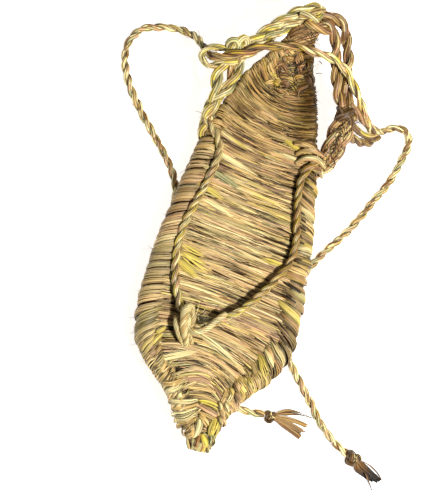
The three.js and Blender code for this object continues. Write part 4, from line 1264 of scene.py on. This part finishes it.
def straw_finish(name):
    """Straw: its own colour, fine streaks along its length and a satin skin."""
    roughness, streak, bump, shine = FINISHES[name]
    finish = bpy.data.materials.new(name)
    finish.use_nodes = True
    tree = finish.node_tree
    shader = tree.nodes["Principled BSDF"]
    shader.inputs["Roughness"].default_value = roughness
    shader.inputs["Specular IOR Level"].default_value = shine
    tint = add_node(tree, "Attribute")
    tint.attribute_name = "tint"
    grain = add_node(tree, "UVMap")
    grain.uv_map = "grain"
    stretch = add_node(tree, "Mapping", scale=FIBRE_STRETCH)
    fibre = add_node(tree, "TexNoise", scale=1, detail=FIBRE_DETAIL, roughness=FIBRE_ROUGHNESS)
    low, high = FIBRE_RANGE
    depth = add_node(tree, "MapRange", from_min=low, from_max=high, to_min=1 - streak, to_max=1 + streak)
    colour = add_node(tree, "VectorMath")
    colour.operation = "MULTIPLY"
    relief = add_node(tree, "Bump", strength=bump, distance=FIBRE_DEPTH)
    for output, target in (
            (grain.outputs["UV"], stretch.inputs["Vector"]),
            (stretch.outputs["Vector"], fibre.inputs["Vector"]),
            (fibre.outputs["Fac"], depth.inputs["Value"]),
            (tint.outputs["Color"], colour.inputs[0]),
            (depth.outputs["Result"], colour.inputs[1]),
            (colour.outputs["Vector"], shader.inputs["Base Color"]),
            (fibre.outputs["Fac"], relief.inputs["Height"]),
            (relief.outputs["Normal"], shader.inputs["Normal"])):
        tree.links.new(output, target)
    return finish


def floor_finish():
    """White that glows a little, which keeps the shadows on it faint."""
    finish = bpy.data.materials.new("floor_white")
    finish.use_nodes = True
    inputs = finish.node_tree.nodes["Principled BSDF"].inputs
    inputs["Base Color"].default_value = (*FLOOR_WHITE, 1)
    inputs["Roughness"].default_value = FLOOR_ROUGHNESS
    inputs["Emission Color"].default_value = WHITE
    inputs["Emission Strength"].default_value = FLOOR_GLOW
    return finish


def set_camera(scene):
    """The photograph's camera."""
    toward = Vector((-np.tan(np.radians(LEAN_LEFT)), -np.tan(np.radians(LEAN_TOE)), 1)).normalized()
    up = Vector((0, 1, 0))
    up = (up - up.dot(toward) * toward).normalized()
    right = up.cross(toward)
    roll = np.radians(CAMERA_ROLL)
    wide = right * np.cos(roll) + up * np.sin(roll)
    tall = up * np.cos(roll) - right * np.sin(roll)
    place = Vector(TARGET) * MM + toward * CAMERA_DISTANCE * MM
    lens = bpy.data.cameras.new("camera")
    lens.sensor_width = SENSOR
    lens.lens = CAMERA_DISTANCE / SCALE_AT_TARGET * SENSOR / PICTURE_HEIGHT
    lens.shift_x = (PICTURE_WIDTH / 2 - TARGET_PIXEL[0]) / PICTURE_HEIGHT
    lens.shift_y = (TARGET_PIXEL[1] - PICTURE_HEIGHT / 2) / PICTURE_HEIGHT
    lens.clip_start = 0.01
    camera = bpy.data.objects.new("camera", lens)
    turn = Matrix((wide, tall, toward)).transposed()
    camera.matrix_world = Matrix.Translation(place) @ turn.to_4x4()
    scene.collection.objects.link(camera)
    scene.camera = camera


def lay_floor():
    """Wide white floor just under the sandal."""
    bpy.ops.object.select_all(action="DESELECT")
    bpy.ops.mesh.primitive_plane_add(size=FLOOR_SIZE, location=(0, 0, -FLOOR_DROP))
    floor = bpy.context.object
    floor.name = "floor"
    floor.data.materials.append(floor_finish())


def light_studio(scene):
    """Plain white surroundings and the lights over the sandal."""
    scene.view_settings.view_transform = "Standard"
    world = bpy.data.worlds.new("studio")
    world.use_nodes = True
    background = world.node_tree.nodes["Background"].inputs
    background["Color"].default_value = WHITE
    background["Strength"].default_value = WORLD_LIGHT
    scene.world = world
    for name, spot, size, power in LIGHTS:
        lamp = bpy.data.lights.new(name, "AREA")
        lamp.size = size
        lamp.energy = power
        light = bpy.data.objects.new(name, lamp)
        aim = (-Vector(spot)).to_track_quat("-Z", "Y")
        light.matrix_world = Matrix.Translation(spot) @ aim.to_matrix().to_4x4()
        scene.collection.objects.link(light)


class SandalOperator:
    """What the steps share: their options, and the settings as sizes and colours."""

    bl_options = {"REGISTER", "UNDO"}

    def settings(self, context):
        """The sizes and the straw colours by name."""
        return context.scene.sandal_sizes, palette(context.scene.sandal_colours)


class SANDAL_OT_stage(SandalOperator, bpy.types.Operator):
    """Set the camera, the floor and the light"""

    bl_idname = "sandal.stage"
    bl_label = "Stage"

    def execute(self, context):
        set_camera(context.scene)
        lay_floor()
        light_studio(context.scene)
        return {"FINISHED"}


# Ties


def knot_line(place, heading, size):
    """Overhand knot, drawn tight."""
    turn = np.linspace(0, 2 * np.pi, 90)
    x = (np.sin(turn) + 2 * np.sin(2 * turn)) / 3
    y = (np.cos(turn) - 2 * np.cos(2 * turn)) / 3
    z = -np.sin(3 * turn) * 0.6
    way = np.radians(heading)
    along = np.array([np.cos(way), np.sin(way), 0])
    side = np.array([-np.sin(way), np.cos(way), 0])
    points = x[:, None] * along + y[:, None] * side + z[:, None] * np.array([0, 0, 1])
    return (np.array(place) + points * size * KNOT_REACH) * MM


def add_tassel(stock, rng, shades, side):
    """Bundles of straw that lie on the floor from a knot."""
    share = np.linspace(0, 1, 12)
    knot_height = TIE_ENDS[side][0][2]
    for plan, width, straws, taper, tip in TASSELS[side]:
        line = three_point_line(plan, share)
        ahead = unit(np.gradient(line, axis=0))
        across = np.stack([-ahead[:, 1], ahead[:, 0]], axis=1)
        place = straw_places(straws)[:, None]
        breadth = width * (0.45 + 0.55 * ease(share, 0, 0.4)) * (1 - taper * ease(share, 0.35, 1))
        end = rng.uniform(0.93, 1.03, (straws, 1, 1))
        offset = place * breadth + 0.12 * waves(rng, straws, share, 2, 6)
        flat = line[0] + (line - line[0]) * end + offset[..., None] * across
        drop = (knot_height - 1.4) * (1 - ease(share, 0, 0.55))
        z = 0.9 + 0.9 * round_top(place) + drop + 0.25 * waves(rng, straws, share, 2, 6)
        path = np.concatenate([flat, np.maximum(z, 0.5)[..., None]], axis=-1) * MM
        sideways = np.concatenate([across, np.zeros((len(share), 1))], axis=1) * np.ones((straws, 1, 1))
        wide = breadth / straws * 1.3 * rng.uniform(0.85, 1.2, (straws, 1)) * MM
        tint = TASSEL_CAST * straw_tints(rng, straws, shades, TASSEL_SHADES, TASSEL_ODDS[side])
        tint = mottled(rng, tint, share, 0.12, 2, 7) * (1 - (1 - tip) * ease(share, 0.1, 0.85))[:, None]
        add_blades(stock, rng, path, sideways, wide, np.maximum(wide, 0.9 * MM), np.clip(tint, 0, 1))


def add_knot(stock, rng, shades, end, straws=18):
    """Turns of a tight knot, dark with handling, and the cut straws in its middle."""
    place, heading, size = end
    line = knot_line(place, heading, size)
    add_cord(stock, rng, line, size * KNOT_CORD * MM, named(shades, KNOT_SHADES, KNOT_CAST))
    way = rng.uniform(0, 2 * np.pi, straws)
    out = np.stack([np.cos(way), np.sin(way), rng.uniform(-0.5, 0, straws)], axis=1)
    start = (np.array(place) + np.array([0, 0, KNOT_MIDDLE * size]) + 0.4 * out) * MM
    tint = straw_tints(rng, straws, shades, ("tan", "pale", "brown"), (0.4, 0.35, 0.25))
    length = rng.uniform(0.25, 0.36, straws) * size * MM
    add_hairs(stock, rng, start, out, length, rng.uniform(0.7, 1.1, straws) * MM, tint, 0.1)


class SANDAL_OT_ties(SandalOperator, bpy.types.Operator):
    """Lay the tie cord with its knots and tassels"""

    bl_idname = "sandal.ties"
    bl_label = "Tie cord"

    def execute(self, context):
        sizes, shades = self.settings(context)
        rng = np.random.default_rng(SEED + 1)
        cord_finish = straw_finish("tie_straw")
        tail_finish = straw_finish("tassel_straw")
        ends = {}
        for side, end in TIE_ENDS.items():
            knot = StrawStock()
            add_knot(knot, rng, shades, end)
            knot_piece = knot.piece(f"knot_{side}_turns", cord_finish, "tie_cord")
            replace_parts(knot_piece, f"knot_{side}")
            tassel = StrawStock()
            add_tassel(tassel, rng, shades, side)
            tassel_piece = tassel.piece(f"tassel_{side}_straws", tail_finish, "tassel_straw")
            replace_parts(tassel_piece, f"tassel_{side}")
            ends[side] = [knot_piece, tassel_piece]
        for name, route, far_end, pieces in (
                ("tie_cross", TIE_CROSS, "object", []), ("tie_left", TIE_LEFT, "knot", ends["left"]),
                ("tie_right", TIE_RIGHT, "knot", ends["right"])):
            line = cord_line(route)
            stock = StrawStock()
            tints = named(shades, CROSS_SHADES if name == "tie_cross" else TIE_SHADES, TIE_LIGHT)
            if name == "tie_cross":
                cast = changing_cast(line, CROSS_LEFT_CAST, CROSS_RIGHT_CAST, CROSS_CHANGE)
                add_cord(stock, rng, line, sizes.tie * CROSS_SIZE, tints, CROSS_LAY, cast=cast)
            else:
                add_cord(stock, rng, line, sizes.tie, tints)
            piece = stock.piece(f"{name}_cord", cord_finish, "tie_cord")
            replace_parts(piece, name)
            hairs = StrawStock()
            add_cord_hairs(hairs, rng, line, sizes.tie, tints)
            hair_piece = hairs.piece(f"{name}_hairs", cord_finish, "tie_cord")
        return {"FINISHED"}


# The sole's pieces


class SANDAL_OT_sole(SandalOperator, bpy.types.Operator):
    """Weave the sole"""

    bl_idname = "sandal.sole"
    bl_label = "Woven sole"

    def execute(self, context):
        sizes, shades = self.settings(context)
        rng = np.random.default_rng(SEED + 2)
        finish = straw_finish("weft_straw")
        sole_core(shades, straw_finish("core_straw"))
        top = StrawStock()
        add_weft(top, rng, sizes, shades)
        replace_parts(top.piece("weft_top", finish, "straw_weave"), "sole")
        edges = StrawStock()
        for side in (-1, 1):
            add_edge(edges, rng, shades, side)
        edges.piece("weft_edges", finish, "straw_weave")
        leaves = StrawStock()
        add_row_leaves(leaves, rng, shades)
        for bundles in EDGE_LEAVES:
            add_edge_leaves(leaves, rng, shades, *bundles)
        add_painted_edge_gaps(leaves, rng, shades, *PAINTED_EDGE_GAPS)
        leaves.piece("weft_leaves", finish, "straw_weave")
        extra = StrawStock()
        add_painted_gap_straws(extra, rng, shades)
        add_fine_straws(extra, rng, shades)
        for plan, width, name in BED_LEAVES:
            start, middle, end = (np.array(place) for place in plan)
            longer = [middle + BED_LEAF_STRETCH * (place - middle) for place in (start, middle, end)]
            add_leaf(extra, rng, longer, width, shades[name], 6, lift=0.7, pinch=0.15, fade=shades["tan"],
                     dim=0.8)
        for plan, width, name in TOE_LEAVES:
            add_leaf(extra, rng, plan, width, 0.95 * shades[name], 5, bulge=1.9)
        add_toe_cap(extra, rng, shades)
        add_heel_knob(extra, rng, shades)
        extra.piece("weft_bundles", finish, "straw_weave")
        hairs = StrawStock()
        add_edge_hairs(hairs, rng, shades)
        hairs.piece("sole_hairs", finish, "straw_weave")
        under = StrawStock()
        add_weft_under(under, rng, sizes, shades)
        under.piece("weft_under", finish, "straw_weave")
        return {"FINISHED"}


# Straps


def tuft_places(rng, tuft, count):
    """Random places in metres round the middle of a tuft."""
    middle, spread = (np.array(values) for values in tuft)
    return (middle + rng.normal(0, 1, (count, 3)) * spread) * MM


def add_frayed_ear(stock, rng, shades, count=110):
    """Short broken straws that lie on the right ear in all directions."""
    line = cord_line(EAR_BRAID)
    spot = rng.integers(0, len(line), count)
    reach = [rng.uniform(low, high, count) for low, high in ((-5.5, 5.5), (-1, 1), (0, 3))]
    way = rng.normal(0, 1, (count, 3)) * np.array([0.8, 1, 0.35])
    # Some straws take the core's dark colour, as painted shade of the gaps in the ear
    tint = straw_tints(rng, count, shades, ("pale", "tan", "brown", "core"), (0.25, 0.3, 0.15, 0.3), mix=0.1)
    add_hairs(stock, rng, line[spot] + np.stack(reach, axis=1) * MM, way,
              rng.uniform(2.5, 5.5, count) * MM, rng.uniform(0.35, 0.8, count) * MM, tint)


def add_frayed_fold(stock, rng, shades, count=34):
    """Broken ends of straw where the heel strap folds over the binding."""
    start = tuft_places(rng, FOLD_TUFT, count)
    way = np.array([0.7, -0.5, 0.15]) + rng.normal(0, 0.5, (count, 3))
    tint = straw_tints(rng, count, shades, ("pale", "tan", "brown"), (0.3, 0.35, 0.35))
    add_hairs(stock, rng, start, way, rng.uniform(3, 6.5, count) * MM,
              rng.uniform(0.4, 0.9, count) * MM, tint)


def add_strap_cords(stock, rng, sizes, shades):
    """The twisted cords of the toe strap, the ears and the heel strap."""
    for route, setting, part, names, lay in STRAP_CORDS:
        line = cord_line(route)
        size = part * getattr(sizes, setting)
        tints = named(shades, names, EAR_CAST if names is EAR_SHADES else 1)
        cast = 1.0
        taper = 1.0
        if route is RIGHT_EYE:
            tints = [EYE_CAST * tint for tint in tints]
        if route is TOE_STRAP:
            cast = changing_cast(line, TOE_LEFT_CAST, TOE_RIGHT_CAST, TOE_CHANGE)
        if route is STRAP_LEFT:
            round_ear = ease(-line[:, 0] / MM, 33, 44)
            at_fold = ease(line[:, 1] / MM, 148, 153)
            taper = 1 - 0.42 * round_ear - 0.3 * at_fold
        add_cord(stock, rng, line, size, tints, lay, cast=cast, straws=8, taper=taper)
        add_cord_hairs(stock, rng, line, size, tints)


def add_strap_bundles(stock, rng, sizes, shades):
    """The bundles that fill and cross the straps, the braid in the right ear and that ear's roots."""
    pale = named(shades, LOOP_SHADES, LOOP_CAST)
    ear = named(shades, EAR_SHADES, EAR_CAST)
    dark = named(shades, CROSSING_SHADES, CROSSING_CAST)
    strap, eye, roll = sizes.heel_strap, sizes.right_eye, sizes.right_ear
    add_ply(stock, rng, cord_line(STRAP_FILL), strap * 0.46, pale, twist=0.2)
    add_ply(stock, rng, cord_line(STRAP_TUCK), strap * 0.4, pale, twist=0.2)
    add_ply(stock, rng, cord_line(STRAP_COLLAR), strap * 0.36, ear, twist=0.5, straws=8)
    add_ply(stock, rng, cord_line(FOLD_END), strap * 0.3, pale, twist=0.5)
    add_ply(stock, rng, cord_line(EYE_SIDE), eye * 0.36, named(shades, EYE_SIDE_SHADES))
    add_braid(stock, rng, cord_line(EAR_BRAID), roll * 0.8, ear)
    for route in EAR_CROSSING:
        line = cord_line(route)
        belly = np.sin(np.pi * np.linspace(0.08, 0.92, len(line))) ** 0.6
        add_ply(stock, rng, line, roll * 0.4 * belly, dark, twist=0.6)
    add_ply(stock, rng, cord_line(EYE_TOP), eye * 0.46, ear, twist=0.6)
    add_ply(stock, rng, cord_line(EYE_FILL), eye * 0.4, dark, twist=0.6)
    for route in EAR_ROOTS:
        line = cord_line(route)
        belly = np.sin(np.pi * np.linspace(0.12, 0.88, len(line))) ** 0.5
        tints = named(shades, EAR_SHADES) if rng.uniform() < 0.5 else ear
        add_ply(stock, rng, line, rng.uniform(1.5, 2) * MM * belly, tints, twist=0.2, straws=9)


def add_toe_loop(stock, rng, sizes, shades, tuft=40):
    """The bight of the toe loop, its strands and the broken straws at its end."""
    pale = named(shades, LOOP_SHADES, LOOP_CAST)
    add_ply(stock, rng, cord_line(LOOP_MAIN, 0.6), sizes.toe_loop * 0.56, pale, twist=1.8, straws=10)
    for route, radius in LOOP_STRANDS:
        add_ply(stock, rng, cord_line(route, 0.6), radius * MM, pale, twist=1.3, straws=8)
    start = tuft_places(rng, LOOP_TUFT, tuft)
    way = np.array([0.8, 0.45, 0.25]) + rng.normal(0, 0.45, (tuft, 3))
    length = rng.uniform(3, 7, tuft) * MM
    width = rng.uniform(0.5, 1.1, tuft) * MM
    add_hairs(stock, rng, start, way, length, width, np.array(pale)[rng.integers(0, len(pale), tuft)])


class SANDAL_OT_straps(SandalOperator, bpy.types.Operator):
    """Twist the toe strap, the toe loop, the ears and the heel strap"""

    bl_idname = "sandal.straps"
    bl_label = "Straps"

    def execute(self, context):
        sizes, shades = self.settings(context)
        rng = np.random.default_rng(SEED + 3)
        finish = straw_finish("strap_straw")
        straps = StrawStock()
        add_strap_cords(straps, rng, sizes, shades)
        add_strap_bundles(straps, rng, sizes, shades)
        add_frayed_ear(straps, rng, shades)
        add_frayed_fold(straps, rng, shades)
        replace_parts(straps.piece("straps", finish, "straw_cord"), "upper")
        loop = StrawStock()
        add_toe_loop(loop, rng, sizes, shades)
        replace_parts(loop.piece("toe_loop_cord", finish, "pale_straw"), "toe_loop")
        return {"FINISHED"}


# Heel binding


def add_binding(stock, rng, shades, straws=360):
    """Brown straws that wind along the bundle at the heel tip, drawn together at its end."""
    place = np.linspace(0, 1, 12)
    parts = np.linspace(0, 1, len(BINDING_SECTIONS))
    x, y, z, wide, high = (np.interp(place, parts, column) for column in BINDING_SECTIONS.T)
    angle = rng.uniform(0, 2 * np.pi, (straws, 1)) + 4.6 * place + 0.3 * waves(rng, straws, place, 1, 4)
    depth = rng.uniform(0.66, 1, (straws, 1))
    girth = depth * (1 - 0.86 * ease(place, 0.84, 1.02))
    x = x + girth * wide * np.sin(angle)
    z = z + girth * high * np.cos(angle)
    path = np.stack(np.broadcast_arrays(x, y, z), axis=-1) * MM
    out = np.stack(np.broadcast_arrays(np.sin(angle), 0, np.cos(angle)), axis=-1)
    across = np.cross(out, np.gradient(path, axis=1))
    width = rng.uniform(0.4, 0.95, (straws, 1)) * MM * np.ones_like(place)
    tint = straw_tints(rng, straws, shades, ("brown", "rose", "tan"), (0.72, 0.16, 0.12))[:, None, :]
    # Straws that lie deeper in the bundle are darker: painted shade
    tint = 1.14 * tint * ease(depth, 0.68, 1)[..., None]
    add_blades(stock, rng, path, across, width, np.full_like(width, 0.7 * MM), tint)


def add_binding_hairs(stock, rng, shades, count=44):
    """Broken straws that lie on the binding."""
    start = tuft_places(rng, BINDING_TUFT, count)
    way = rng.normal(0, 1, (count, 3)) * np.array([1, 0.8, 0.15])
    length = rng.uniform(3, 7, count) * MM
    width = rng.uniform(0.25, 0.5, count) * MM
    tint = straw_tints(rng, count, shades, ("pale", "rose", "core"), (0.3, 0.25, 0.45))
    add_hairs(stock, rng, start, way, length, width, tint, 0.15)


class SANDAL_OT_heel_binding(SandalOperator, bpy.types.Operator):
    """Bundle the brown straw at the tip of the heel"""

    bl_idname = "sandal.heel_binding"
    bl_label = "Heel binding"

    def execute(self, context):
        _, shades = self.settings(context)
        rng = np.random.default_rng(SEED + 4)
        finish = straw_finish("binding_straw")
        binding = StrawStock()
        add_binding(binding, rng, shades)
        add_binding_hairs(binding, rng, shades)
        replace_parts(binding.piece("binding_straws", finish, "brown_straw"), "heel_binding")
        return {"FINISHED"}


# Panel and start


class SANDAL_PT_panel(bpy.types.Panel):
    """Sizes, colours and steps of the sandal"""

    bl_idname = "SANDAL_PT_panel"
    bl_label = "Straw sandal"
    bl_space_type = "VIEW_3D"
    bl_region_type = "UI"
    bl_category = "Sandal"

    def draw(self, context):
        for group in (context.scene.sandal_sizes, context.scene.sandal_colours):
            for name in group.__annotations__:
                self.layout.prop(group, name)
        for step in STEPS:
            self.layout.operator(step.bl_idname)


STEPS = (SANDAL_OT_stage, SANDAL_OT_ties, SANDAL_OT_sole, SANDAL_OT_straps, SANDAL_OT_heel_binding)
CLASSES = (SandalSizes, SandalColours, *STEPS, SANDAL_PT_panel)


def register():
    """Add the settings, the steps and the panel to Blender."""
    for item in CLASSES:
        bpy.utils.register_class(item)
    bpy.types.Scene.sandal_sizes = bpy.props.PointerProperty(type=SandalSizes)
    bpy.types.Scene.sandal_colours = bpy.props.PointerProperty(type=SandalColours)


def unregister():
    """Take them out again."""
    del bpy.types.Scene.sandal_colours
    del bpy.types.Scene.sandal_sizes
    for item in reversed(CLASSES):
        bpy.utils.unregister_class(item)


def corners(box):
    """Corners of a box as plain lists."""
    return [[float(value) for value in corner] for corner in box]


def main():
    """Build the whole sandal."""
    register()
    bpy.ops.sandal.stage()
    bpy.ops.sandal.ties()
    bpy.ops.sandal.sole()
    bpy.ops.sandal.straps()
    bpy.ops.sandal.heel_binding()


if __name__ == "__main__":
    main()
